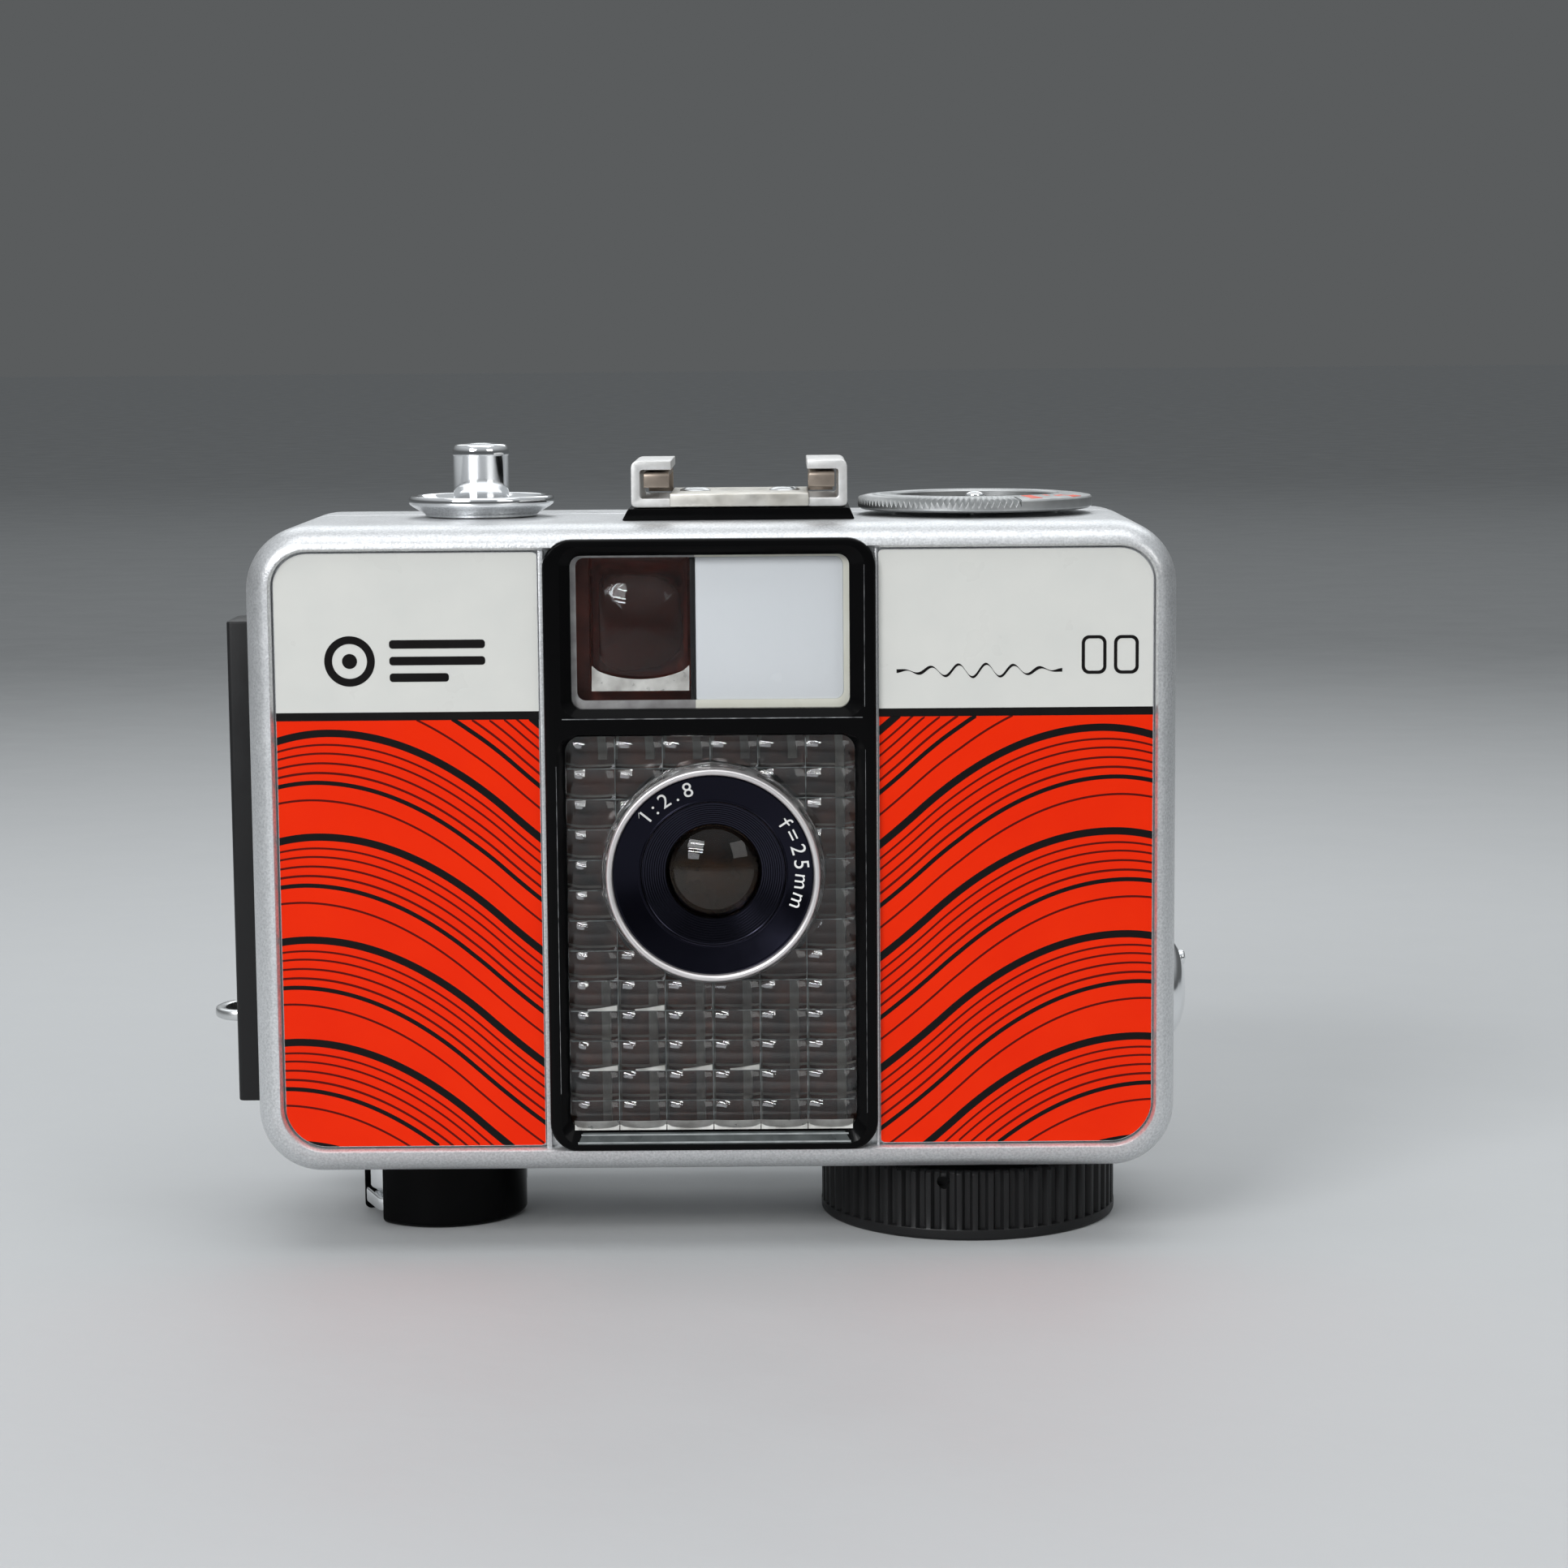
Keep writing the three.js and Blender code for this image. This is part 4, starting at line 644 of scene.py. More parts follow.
def upper_windows():
    sheet = (-13.0, 12.8, 44.3, 58.5, 1.0)
    loops = tiers(sheet, (-0.62, -0.5), (-0.56, -0.48), (-0.05, 0.1), (0, 0.2), (0, 0.65))
    fixed("window_sheet", plate(loops), GLAZE, ["window_glazing"], sharp=20)
    lip = rounded(-13.05, 12.85, 44.25, 58.55, 1.0)
    inner = rounded(-12.55, 12.3, 45.0, 58.3, 0.8)
    split = WINDOW_SPLIT
    # The left lip's grey is a painted reflection on the clear bevel; the right lip is cream.
    for half, arc, ends, colour in (("left", slice(22, 44), (58.55, 44.25, 58.3, 45.0), BEVEL_REFLECTION),
                                     ("right", slice(0, 22), (44.25, 58.55, 45.0, 58.3), CREAM)):
        edge = [(split, ends[0]), *lip[arc], (split, ends[1])]
        mouth = [(split, ends[2]), *inner[arc], (split, ends[3])]
        rows = [facing(edge, 0.68), facing(mouth, 0.72), facing(mouth, 0.8), facing(edge, 0.8)]
        fixed(f"window_lip_{half}", strip(rows), colour)
    white = (-1.47, 12.35, 44.9, 58.35, (0.9, 0.9, 0.2, 0.2))
    fixed("light_window", solid(tiers(white, (0, 0.84), (0, 1.6))), WHITE_WINDOW, ["frame_light_window"], bevel=0.15)
    cream = (-1.47, 12.8, 44.45, 58.5, (1.1, 1.1, 0.2, 0.2))
    fixed("light_window_edge", solid(tiers(cream, (0, 1.62), (0, 1.9))), CREAM)
    fixed("window_partition", block(-1.95, -1.52, 0.75, 3.6, 44.4, 58.5), BLACK_METAL, bevel=0.05)

    block_spec = (-11.3, -2.0, 45.75, 58.4, 0.4)
    dish_spec = (-10.5, -2.5, 47.4, 57.9, 2.2)
    dish = rounded(*dish_spec)
    middle = (-6.8, 51.9)
    loops = [*tiers(block_spec, (-0.1, 3.6), (0, 3.5), (0, 2.2), (-0.25, 2.0)), facing(dish, 2.05)]
    for share in (0.04, 0.1, 0.18, 0.27, 0.37, 0.48, 0.6, 0.72, 0.85, 0.97):
        ring = mixed(dish, [middle] * len(dish), share)
        loops.append(
            [(x, min(0.84 + 0.055 * ((x - middle[0]) ** 2 + (z - middle[1]) ** 2), 2.0), z) for x, z in ring]
        )
    fixed("finder_glass_block", solid(loops), SMOKED, ["finder_front_lens"], sharp=30)
    # Painted highlight: a light facet under the finder block for the light caught inside it.
    arc = [(-11.2 + 9.1 * i / 16, 48.15 - 1.25 * sin(pi * i / 16) ** 0.6) for i in range(17)]
    foot = [[(x, 0.9, 45.85) for x, _ in arc], [(x, 0.98 + 0.3 * (z - 45.85), z) for x, z in arc],
            [(x, 1.03 + 0.3 * (z - 45.85), z) for x, z in arc], [(x, 0.96, 45.85) for x, _ in arc]]
    fixed("finder_block_foot_highlight", strip(foot), FACET_HIGHLIGHT)
    # Painted reflection: the tunnel is red-brown with lighter patches for the reflections seen through the finder.
    tunnel = rounded(-11.5, -1.98, 45.5, 58.5, 0.4)
    far = rounded(-9.3, -4.2, 49.2, 54.6, 1.0)
    case = rounded(-13.3, -1.2, 44.4, 59.1, 0.3)
    loops = [
        facing(tunnel, 3.8), facing(mixed(tunnel, far, 0.5), 9.0), *span(far, 16.0, 17.5), *span(case, 17.5, 3.8)
    ]
    fixed("finder_tunnel", skin(loops, close=True), TUNNEL_REFLECTION)


def strip(rows):
    """Closed bar over rows of points that run alongside each other."""
    n = len(rows[0])
    return solid([[row[i] for row in rows] for i in range(n)])


# Painted reflection: grey with darker patches for light caught in the clear bevel.
BEVEL_REFLECTION = finish(
    "painted_bevel_reflection", "clear_plastic", (0.52, 0.51, 0.51), 0.3, 0.3, wear=(2.0, 0.1), cloud=(1.6, (0.3, 0.29, 0.29),
    0.9)
)
# Painted highlight: light grey with darker patches for light caught in clear facets.
FACET_HIGHLIGHT = finish(
    "painted_facet_highlight", "clear_plastic", (0.7, 0.7, 0.67), 0.26, 0.45, wear=(0.8, 0.2), cloud=(2.0, (0.34, 0.33, 0.31),
    0.9)
)
# Painted reflection: red-brown, lighter in patches, for the reflections seen through the finder; the housing itself
# is dark.
TUNNEL_REFLECTION = finish(
    "finder_tunnel_painted_reflection", "satin_black", (0.1, 0.026, 0.018), 0.35, wear=(2.0, 0.1), cloud=(3.0, (0.3, 0.075, 0.05),
    0.9)
)

# ---- Meter window ----------------------------------------------------------------------------

COLUMNS, ROWS, PITCH_X, PITCH_Z, LEFT, TOP = 6, 14, 4.44, 2.863, -13.52, 41.57
LENS_Z = 28.85


def meter_window():
    """Clear slab of cushion-shaped lenslets with a plain border and a round hole for the lens."""
    per_x, per_z = 10, 8
    nx, nz = COLUMNS * per_x, ROWS * per_z
    x0, x1, z0, z1 = LOWER[0] + 0.1, LOWER[1] - 0.1, LOWER[2] + 0.1, LOWER[3] - 0.1
    verts, faces = [], []

    def front(x, z):
        u = (x - LEFT) / PITCH_X % 1.0
        v = (TOP - z) / PITCH_Z % 1.0
        crown = 0.5 * (1 - (2 * u - 1) ** 2) + 0.34 * (1 - (2 * v - 1) ** 2)
        border = min(x - x0, x1 - x, z - z0, z1 - z)
        return -0.02 - crown * min(border / 0.25, 1.0)

    columns = [x0] + [LEFT + PITCH_X * i / per_x for i in range(1, nx)] + [x1]
    rows = [z1] + [TOP - PITCH_Z * j / per_z for j in range(1, nz)]
    rows = [z for z in rows if z > z0 + 0.05] + [z0]
    across = len(columns)
    for layer in (0, 1):
        for z in rows:
            verts += [(x, front(x, z) if layer == 0 else 1.6, z) for x in columns]
    size = across * len(rows)
    for j in range(len(rows) - 1):
        for i in range(across - 1):
            a = j * across + i
            faces.append((a, a + across, a + across + 1, a + 1))
            faces.append((size + a, size + a + 1, size + a + across + 1, size + a + across))
    border = list(range(across))
    border += [j * across + across - 1 for j in range(1, len(rows))]
    border += [(len(rows) - 1) * across + i for i in range(across - 2, -1, -1)]
    border += [j * across for j in range(len(rows) - 2, 0, -1)]
    for k, a in enumerate(border):
        b = border[(k + 1) % len(border)]
        faces.append((a, b, size + b, size + a))
    slab = fixed("meter_lenslets", (verts, faces), CLEAR, ["prism_window"], sharp=24)
    carve(slab, turned("y", rod(9.9, -2, 3), (0, 0, LENS_Z), 96), sharp=24)

    plate_loop = rounded(-13.4, 13.0, 4.35, 41.5, 0.6)
    hole = circle(0, LENS_Z, 10.6)
    fixed("light_cell", plate(span(plate_loop, 2.0, 2.6), [span(hole, 2.0, 2.6)]), CELL, ["selenium_cell"])
    painted_glints()
    bars = []
    for i in range(COLUMNS + 1):
        x = LEFT + PITCH_X * i
        for low, high in ((4.5, LENS_Z - 10.7), (LENS_Z + 10.7, 41.4)) if abs(x) < 10 else ((4.5, 41.4),):
            for left, right in ((x - 1.75, x - 1.05), (x + 0.1, x + 0.5)):
                if left > -13.3 and right < 12.9:
                    bars.append(block(left, right, 1.86, 2.02, low, high))
    for j in range(ROWS):
        z = TOP - PITCH_Z * (j + 0.85)
        if z > 4.6:
            spans = gaps(z - LENS_Z, 10.8, 0, -13.3, 12.9)
            bars += [block(low, high, 1.84, 1.99, z - 0.08, z + 0.08) for low, high in spans]
    fixed("light_cell_grid", joined(*bars), GRID)


def gaps(offset, radius, middle, low, high):
    """The stretches of a straight line that a circle round the lens axis leaves free."""
    half = sqrt(max(radius ** 2 - offset ** 2, 0.0))
    return ((low, middle - half), (middle + half, high)) if half else ((low, high),)


def painted_glints():
    """Painted highlights: thin lit lines at the joints of the lenslets, lit splinters under some rows and lit facets
    along the foot.
    """
    lines = []
    for i in range(1, COLUMNS):
        x = LEFT + PITCH_X * i
        spans = gaps(x, 10.45, LENS_Z, 5.3, 41.5)
        lines += [block(x - 0.035, x + 0.035, -0.38, 0.3, low, high) for low, high in spans]
    for j in range(1, ROWS):
        z = TOP - PITCH_Z * j
        if z > 5.4:
            spans = gaps(z - LENS_Z, 10.45, 0, -13.5, 13.1)
            lines += [block(low, high, -0.54, 0.3, z - 0.03, z + 0.03) for low, high in spans]
    fixed("meter_seam_highlights", joined(*lines), SEAM_HIGHLIGHT)
    glint_pieces = []
    for row, columns in ((9, (0, 1)), (11, (0, 1, 2, 3))):
        z = TOP - PITCH_Z * row + 0.06
        for column in columns:
            x = LEFT + PITCH_X * column
            wedge = [(x + 1.6, z - 0.02), (x + 4.35, z - 0.04), (x + 4.35, z + 0.46), (x + 1.6, z + 0.12)]
            glint_pieces.append(solid(span(wedge, -0.56, 0.2)))
    for column in range(COLUMNS):
        x = LEFT + PITCH_X * column
        low, high = max(x + 0.05, -13.3), min(x + 4.4, 12.9)
        rows = [[(v, -0.5, 4.4) for v in (low, high)], [(v, -0.05, 5.25) for v in (low, high)],
                [(v, 0.05, 5.25) for v in (low, high)], [(v, -0.4, 4.4) for v in (low, high)]]
        glint_pieces.append(strip(rows))
    fixed("meter_painted_facet_highlights", joined(*glint_pieces), FACET_HIGHLIGHT)


# Painted highlight: light grey, darker in patches, for the lenslets' joints catching the light.
SEAM_HIGHLIGHT = finish(
    "painted_seam_highlight", "clear_plastic", (0.24, 0.26, 0.26), 0.2, 0.4, wear=(1.0, 0.2), cloud=(1.3, (0.05, 0.06, 0.06),
    1.0)
)
GRID = finish(
    "cell_grid_grey", "meter_cell", (0.085, 0.08, 0.068), 0.35, wear=(2.0, 0.1), cloud=(2.0, (0.02, 0.013, 0.01),
    0.9)
)

# ---- Lens ------------------------------------------------------------------------------------

AXIS = (0, 0, LENS_Z)
BASELINE = 7.62  # radius on which the ring's characters stand


def lens():
    flange = soften([(9.9, -0.6), (10.3, -0.9, 0.2), (10.42, -0.7, 0.1), (10.42, 0.2), (9.9, 0.2)], steps=4)
    fixed("lens_flange", turned("y", flange, AXIS, 128), CLEAR)
    ring = soften(
        [(9.36, -1.9), (9.42, -2.35, 0.08), (9.6, -2.5, 0.1), (9.86, -2.5, 0.1), (10, -2.3, 0.12), (10, 4.5),
        (9.36, 4.5)], steps=4
    )
    fixed("lens_bright_ring", turned("y", ring, AXIS, 128), RING_METAL, ["lens_ring"])
    name = soften(
        [(6.72, -0.2), (6.72, -1.12, 0.05), (6.86, -1.3, 0.08), (7.0, -1.18, 0.05), (9.2, -1.95, 0.2), (9.36, -1.9),
        (9.36, -0.4)], steps=3
    )
    fixed("lens_name_ring", turned("y", name, AXIS, 128), RING_BLACK, ["name_ring"])
    grooves = [(6.7, 2.0), (6.7, -1.0)]
    steps = 10
    for i in range(steps):
        r, y = 6.62 - 0.211 * i, -0.95 + 0.13 * i
        grooves += [(r, y), (r - 0.04, y + 0.12), (r - 0.17, y + 0.14), (r - 0.2, y + 0.06)]
    grooves += [(4.5, 0.36), (4.42, 0.5), (4.42, 6.9), (6.5, 6.9)]
    fixed("lens_grooved_cell", turned("y", grooves, AXIS, 128), CELL_BLACK, ["lens_cell"], sharp=25)
    front = [(4.3 * i / 12, 6.1 - sqrt(7.05 ** 2 - (4.3 * i / 12) ** 2)) for i in range(13)]
    rear = [(4.3 * i / 8, 0.55 + 0.04 * (4.3 * i / 8) ** 2) for i in range(8, -1, -1)]
    glass = [(0, front[0][1]), *front[1:], (4.3, 1.0), *[(r, y + 0.1) for r, y in rear]]
    fixed("lens_front_glass", turned("y", glass, AXIS, 96), LENS_GLASS, ["front_element"], sharp=50)
    for name, node, curve, glass in (("lens_middle_glass", "middle_element", 0.05, AMBER_GLASS),
                                     ("lens_rear_glass", "rear_element", 0.04, LENS_GLASS)):
        lo, hi = [(corner - ORIGIN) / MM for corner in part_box(node)]
        radius = (hi.x - lo.x) / 2
        bowl = [(radius * i / 10, lo.y + curve * (radius * i / 10) ** 2) for i in range(11)]
        disc = [*bowl, (radius, hi.y), (0, hi.y)]
        fixed(name, turned("y", disc, AXIS, 64), glass, [node], sharp=40)
    engrave("1:2.8", 122, "lens_ratio_mark")
    engrave("f=25mm", 7.5, "lens_focus_mark")


def engrave(text, middle, name):
    """Painted characters round the name ring, centred on an angle in degrees from +X."""
    spacing = 1.5  # degrees for each unit of advance
    advance = {"1": 5.6, ":": 4.4, "2": 6.6, ".": 4.6, "8": 6.6, "f": 5.4, "=": 6.8, "5": 6.6, "m": 8.6}
    strokes = {  # a flag and a crossbar that the font's own glyphs lack
        "1": [(-0.1, 1.38), (-0.06, 1.5), (-0.42, 1.14), (-0.5, 1.02)],
        "f": [(-0.42, 0.78), (0.4, 0.78), (0.4, 0.92), (-0.42, 0.92)],
    }
    start = middle + spacing * sum(advance[c] for c in text) / 2
    parts = []
    for char in text:
        width = spacing * advance[char]
        angle = radians(start - width / 2)
        start -= width
        curve = bpy.data.curves.new("glyph", "FONT")
        curve.body, curve.size, curve.align_x = char, 2.0, "CENTER"
        glyph = placed("glyph", curve)
        bpy.context.view_layer.update()
        flat = bpy.data.meshes.new_from_object(glyph.evaluated_get(bpy.context.evaluated_depsgraph_get()))
        verts = []
        outline = [(v.co.x, v.co.y) for v in flat.vertices] + strokes.get(char, [])
        for side, up in outline:
            out = BASELINE + up
            x = out * cos(angle) + side * sin(angle)
            z = out * sin(angle) - side * cos(angle)
            r = hypot(x, z)
            verts.append((x, -1.18 - (r - 7.0) * 0.35 - 0.015, LENS_Z + z))
        faces = [tuple(p.vertices) for p in flat.polygons]
        if char in strokes:
            faces.append(tuple(range(len(verts) - 4, len(verts))))
        parts.append((verts, faces))
        bpy.data.objects.remove(glyph)
        bpy.data.meshes.remove(flat)
        bpy.data.curves.remove(curve)
    fixed(name, joined(*parts), PAINT_WHITE)


RING_BLACK = finish("name_ring_black", "gloss_black", (0.011, 0.011, 0.019), 0.16, 0.95, wear=(2.0, 0.05))
CELL_BLACK = finish("grooved_black", "black_metal", (0.022, 0.022, 0.034), 0.16, 0.95, wear=(1.0, 0.05))

# ---- Top controls ----------------------------------------------------------------------------

SHOE_X = 2.65
MID_Y = 17.0


def along_y(section, y0, y1):
    return solid([[(x, y, z) for x, z in section] for y in (y0, y1)])


def shoe():
    foot = soften([(SHOE_X - 11.05, 61.45, 0.1), (SHOE_X + 10.85, 61.45, 0.1), (SHOE_X + 10.4, 62.5, 0.2),
                   (SHOE_X - 10.5, 62.5, 0.2)])
    fixed("shoe_foot", along_y(foot, 6.4, 20.9), GLOSS_BLACK, ["shoe_base"], bevel=0.12)
    half, wall, lip = 10.2, 0.85, 3.8
    low, high = 62.6, 67.0
    section = [
        (SHOE_X - half, low, 0.6), (SHOE_X + half, low, 0.6), (SHOE_X + half, high, 0.75), (SHOE_X + half - lip,
        high), (SHOE_X + half - lip, high - wall), (SHOE_X + half - wall, high - wall, 0.3), (SHOE_X + half - wall,
        low + wall, 0.3), (SHOE_X - half + wall, low + wall, 0.3), (SHOE_X - half + wall, high - wall, 0.3),
        (SHOE_X - half + lip, high - wall), (SHOE_X - half + lip, high), (SHOE_X - half, high, 0.75)
    ]
    fixed("shoe_rails", along_y(soften(section, steps=6), 6.8, 20.5), RAIL, ["shoe_rail"], bevel=0.1)
    floor_plate = along_y(rounded(SHOE_X - 6.55, SHOE_X + 6.55, 63.58, 63.92, 0.12, steps=4), 6.9, 20.4)
    fixed("shoe_floor_plate", floor_plate, FLOOR_PLATE, bevel=0.06)
    fixed("shoe_floor_fold", block(SHOE_X - 6.55, SHOE_X + 6.55, 6.5, 6.78, 62.66, 63.9), FLOOR_PLATE, bevel=0.12)
    arms = []
    for x0, x1 in ((SHOE_X - 9.0, SHOE_X - 6.6), (SHOE_X + 6.6, SHOE_X + 9.0)):
        path = soften(
            [(20.4, 63.6), (20.4, 65.9, 0.5), (7.2, 65.9, 0.4), (7.2, 64.45, 0.2), (7.55, 64.45), (7.55, 65.55, 0.3),
            (20.05, 65.55, 0.3), (20.05, 63.6)], steps=4
        )
        arms.append(solid([[(x, y, z) for y, z in path] for x in (x0, x1)]))
    fixed("shoe_spring_arms", joined(*arms), SPRING, ["shoe_spring"], bevel=0.05)
    for side, x in (("left", SHOE_X - 4.3), ("right", SHOE_X + 4.3)):
        head = soften([(0, 63.9), (0, 64.25), (1.1, 64.2, 0.2), (1.5, 63.95, 0.1), (1.5, 63.7), (0, 63.7)])
        screw = fixed(f"shoe_screw_{side}_head", turned("z", head, (x, 13.6, 0), 40), STEEL, [f"shoe_screw_{side}"])
        slot = moved(block(-2, 2, -0.18, 0.18, 64.02, 65), 30 if side == "left" else -50, (x, 13.6, 0))
        carve(screw, slot)


FLOOR_PLATE = finish(
    "shoe_floor_steel", "steel", (0.74, 0.72, 0.67), 0.3, 0.7, grain=(0.4, 0.006), wear=(1.5, 0.2),
    cloud=(2.0, (0.6, 0.57, 0.5), 0.8)
)


def release():
    centre = (-22.5, MID_Y, 0)
    collar = soften([
        (3.05, 61.5), (5.4, 61.5, 0.1), (5.5, 61.75, 0.1), (6.7, 62.45, 0.25), (7.06, 62.75, 0.2), (7.06, 63.25, 0.2),
        (6.85, 63.5, 0.15), (6.3, 63.5, 0.15), (5.7, 62.95, 0.3), (3.4, 62.8, 0.2), (3.05, 62.6),
    ], steps=5)
    fixed("release_saucer", turned("z", collar, centre, 128), CHROME, ["release_collar"])
    button = soften(
        [(0, 56), (1.2, 56), (1.2, 58.8), (3.9, 58.8), (3.9, 59.6), (2.68, 59.6), (2.68, 67.3), (2.74, 67.42, 0.06),
        (2.74, 67.9, 0.2), (2.5, 68.4, 0.35), (1.7, 68.5, 0.1), (1.25, 68.42, 0.1), (1.0, 67.9, 0.1), (0.9, 65.2),
        (0, 65.2)], steps=5
    )
    piece("release_plunger", turned("z", button, centre, 96), "button", CHROME, ["release_button"])


DIAL = (25.4, MID_Y, 0)


def dial():
    grooves, sweep = 82, 250.0
    start = radians(40)
    pitch = radians(sweep) / grooves

    def knurl(r, s, a):
        turn = (a - start) % (2 * pi)
        if r < 9.4 or turn > radians(sweep):
            return r, s
        phase = abs(turn / pitch % 1.0 - 0.5) * 2
        depth = 0.62 * phase * min((r - 9.4) / 1.6, 1.0)
        return r, s - (depth if s > 62.5 else 0.0)

    ring = soften(
        [(8.0, 61.9), (11.0, 61.9, 0.1), (11.35, 62.1, 0.1), (11.35, 62.95, 0.04), (11.2, 63.1), (10.7, 63.2),
        (10.2, 63.27), (9.6, 63.32), (9.2, 63.36), (8.75, 63.38), (8.55, 63.4, 0.15), (8.2, 63.35, 0.1),
        (8.0, 63.15)], steps=3
    )
    piece("dial_knurled_ring", turned("z", ring, DIAL, 12 * 118, knurl), "dial", DIAL_METAL, ["dial_ring"], sharp=30)
    face = soften(
        [(1.0, 61.95), (7.85, 61.95), (7.85, 62.7, 0.1), (7.5, 62.78, 0.1), (1.4, 62.78), (1.0, 62.78)], steps=3
    )
    piece("dial_black_face", turned("z", face, DIAL, 96), "dial", GLOSS_BLACK, ["dial_disc"])
    head = soften([(0, 56.5), (0.9, 56.5), (0.9, 62.79), (0.95, 63.2, 0.3), (0.5, 63.48, 0.3), (0, 63.5)])
    piece("dial_centre_screw", turned("z", head, DIAL, 48), "dial", CHROME, ["dial_shaft"])
    marks = []
    for angle, width, inner, outer in (
            (-60, 7.0, 8.9, 10.8), (-46, 3.0, 9.0, 9.6),
            (-38, 8.0, 9.6, 10.3), (-30, 9.0, 10.0, 11.0)
    ):
        corners = []
        for r, share in ((inner, -0.5), (inner, 0.5), (outer, 0.5), (outer, -0.5)):
            a = radians(angle + share * width)
            height = 63.41 - (r - 8.6) * 0.1
            corners.append((DIAL[0] + r * cos(a), DIAL[1] + r * sin(a), height))
        under = [(x, y, z - 0.1) for x, y, z in corners]
        marks.append(solid([[(x, y, z + 0.02) for x, y, z in corners], under]))
    piece("dial_orange_marks", joined(*marks), "dial", PAINT_ORANGE)


# ---- Lower knobs -----------------------------------------------------------------------------

def winder():
    centre = (24.6, MID_Y, 0)
    ribs = 60

    def ribbed(r, s, a):
        if r < 13.9 or s < -6.35:
            return r, s
        wave = cos(a * ribs)
        dip = 0.5 * max(0.0, min(1.0, 0.5 - 0.9 * wave))
        return r - dip, s

    profile = soften(
        [(2.2, -6.9), (3.7, -6.9), (3.7, -6.6), (11.6, -6.6, 0.2), (11.8, -7.4, 0.15), (14.3, -7.4, 0.2),
        (14.5, -7.2, 0.2), (14.5, -6.4, 0.05), (14.45, -6.3), (14.45, -3.5), (14.45, -0.9, 0.1), (14.2, -0.6, 0.15),
        (2.2, -0.6)], steps=4
    )
    knob = piece(
        "winder_ribbed_knob", turned("z", profile, centre, ribs * 12, ribbed), "winder", SATIN_BLACK, ["winder_knob"],
        sharp=30
    )
    carve(knob, turned("y", rod(0.62, 0, 4.6), (21.6, 0, -1.75), 24), sharp=30)
    cap = soften([(0, -7.15), (2.9, -7.15, 0.2), (3.4, -6.95, 0.1), (3.4, -6.7), (1.8, -6.7), (1.8, 53.6), (0, 53.6)])
    arbor = piece("winder_cap_screw", turned("z", cap, centre, 64), "winder", STEEL, ["winder_arbor"])
    carve(arbor, moved(block(-4, 4, -0.4, 0.4, -8, -6.95), 25, centre))


CRANK_TURN = 202  # degrees from +X to the crank's end


def rewind():
    centre = (-27.3, MID_Y, 0)
    profile = soften(
        [(0, -7.4), (7.7, -7.4, 0.2), (8.1, -7.05, 0.3), (8.1, -0.9, 0.2), (7.9, -0.6, 0.1), (0, -0.6)], steps=5
    )
    knob = piece("rewind_smooth_knob", turned("z", profile, centre, 128), "rewind", GLOSS_BLACK, ["rewind_knob"])
    carve(
        knob, moved(block(-5.4, 10, -3.3, 3.3, -9, -1.4), CRANK_TURN, centre), moved(block(-10, -5, -3.3, 3.3, -9,
        -4.3), CRANK_TURN, centre)
    )
    arm = rounded(-4.4, 7.6, -2.9, 2.9, 1.1, steps=8)
    blank = column(arm, -6.4, -4.9)
    grip = soften([(0, -5.0), (1.6, -5.0), (2.5, -4.4, 0.15), (2.5, -2.1, 0.3), (2.2, -1.8, 0.1), (0, -1.8)])
    pin = turned("z", soften([(0, -6.62), (1.0, -6.6, 0.2), (1.2, -6.3), (0, -6.3)]), (5.1, 0, 0), 40)
    piece("crank_plate", moved(blank, CRANK_TURN, centre), "crank", CHROME, ["crank_arm"], bevel=0.25)
    piece("crank_grip", moved(joined(turned("z", grip, (5.1, 0, 0), 64), pin), CRANK_TURN, centre), "crank", CHROME)
    shaft = soften([(0, -0.5), (2, -0.5), (2, 7.2, 0.2), (0, 7.4)])
    fork = moved(joined(block(-1.9, -0.6, -0.6, 0.6, 7.1, 9.5), block(0.6, 1.9, -0.6, 0.6, 7.1, 9.5)), 0, centre)
    piece(
        "rewind_fork_shaft", joined(turned("z", shaft, centre, 48), fork), "rewind", STEEL, ["rewind_shaft"],
        bevel=0.08
    )


def underside():
    fixed("tripod_bush", turned("z", socket_profile(), TRIPOD, 64), STEEL, ["tripod_socket"], sharp=25)
    pane = soften([(0, 0.1), (2.7, 0.12, 0.2), (3.1, 0.3, 0.1), (3.1, 0.9), (0, 0.9)])
    fixed("counter_glass", turned("z", pane, COUNTER, 64), CLEAR, ["counter_window"])
    disc = soften([(0, 1.35), (3.9, 1.35, 0.05), (3.9, 2.0), (1.0, 2.0), (1.0, 6.9), (0, 6.9)])
    piece("counter_disc", turned("z", disc, COUNTER, 64), "counter", COUNTER_WHITE, ["counter_dial"])
    ticks = []
    for i in range(24):
        inner = 2.1 if i % 6 == 0 else 2.7
        ticks.append(moved(block(inner, 3.6, -0.07, 0.07, 1.3, 1.4), 15 * i, COUNTER))
    piece("counter_ticks", joined(*ticks), "counter", INK_BLACK)
    button = soften([(0, -0.2), (1.5, -0.2, 0.15), (1.8, 0.05, 0.1), (1.8, 1.4), (1.0, 1.4), (1.0, 6.4), (0, 6.4)])
    piece("clutch_plunger", turned("z", button, CLUTCH, 48), "clutch", STEEL, ["clutch_button"])


def socket_profile():
    """Threaded bush: a flat face, a bore with thread ridges and a closed end."""
    thread = [(3.2 + 0.25 * (i % 2), 0.7 + 0.32 * i) for i in range(20)]
    return [(0, 7.6), *reversed(thread), (3.45, 0.2), (3.65, 0.02), (4.8, 0.02), (5.0, 0.2), (5.0, 8.1), (0, 8.1)]


# ---- Sides -----------------------------------------------------------------------------------

HINGE = (-45.4, 21.2)


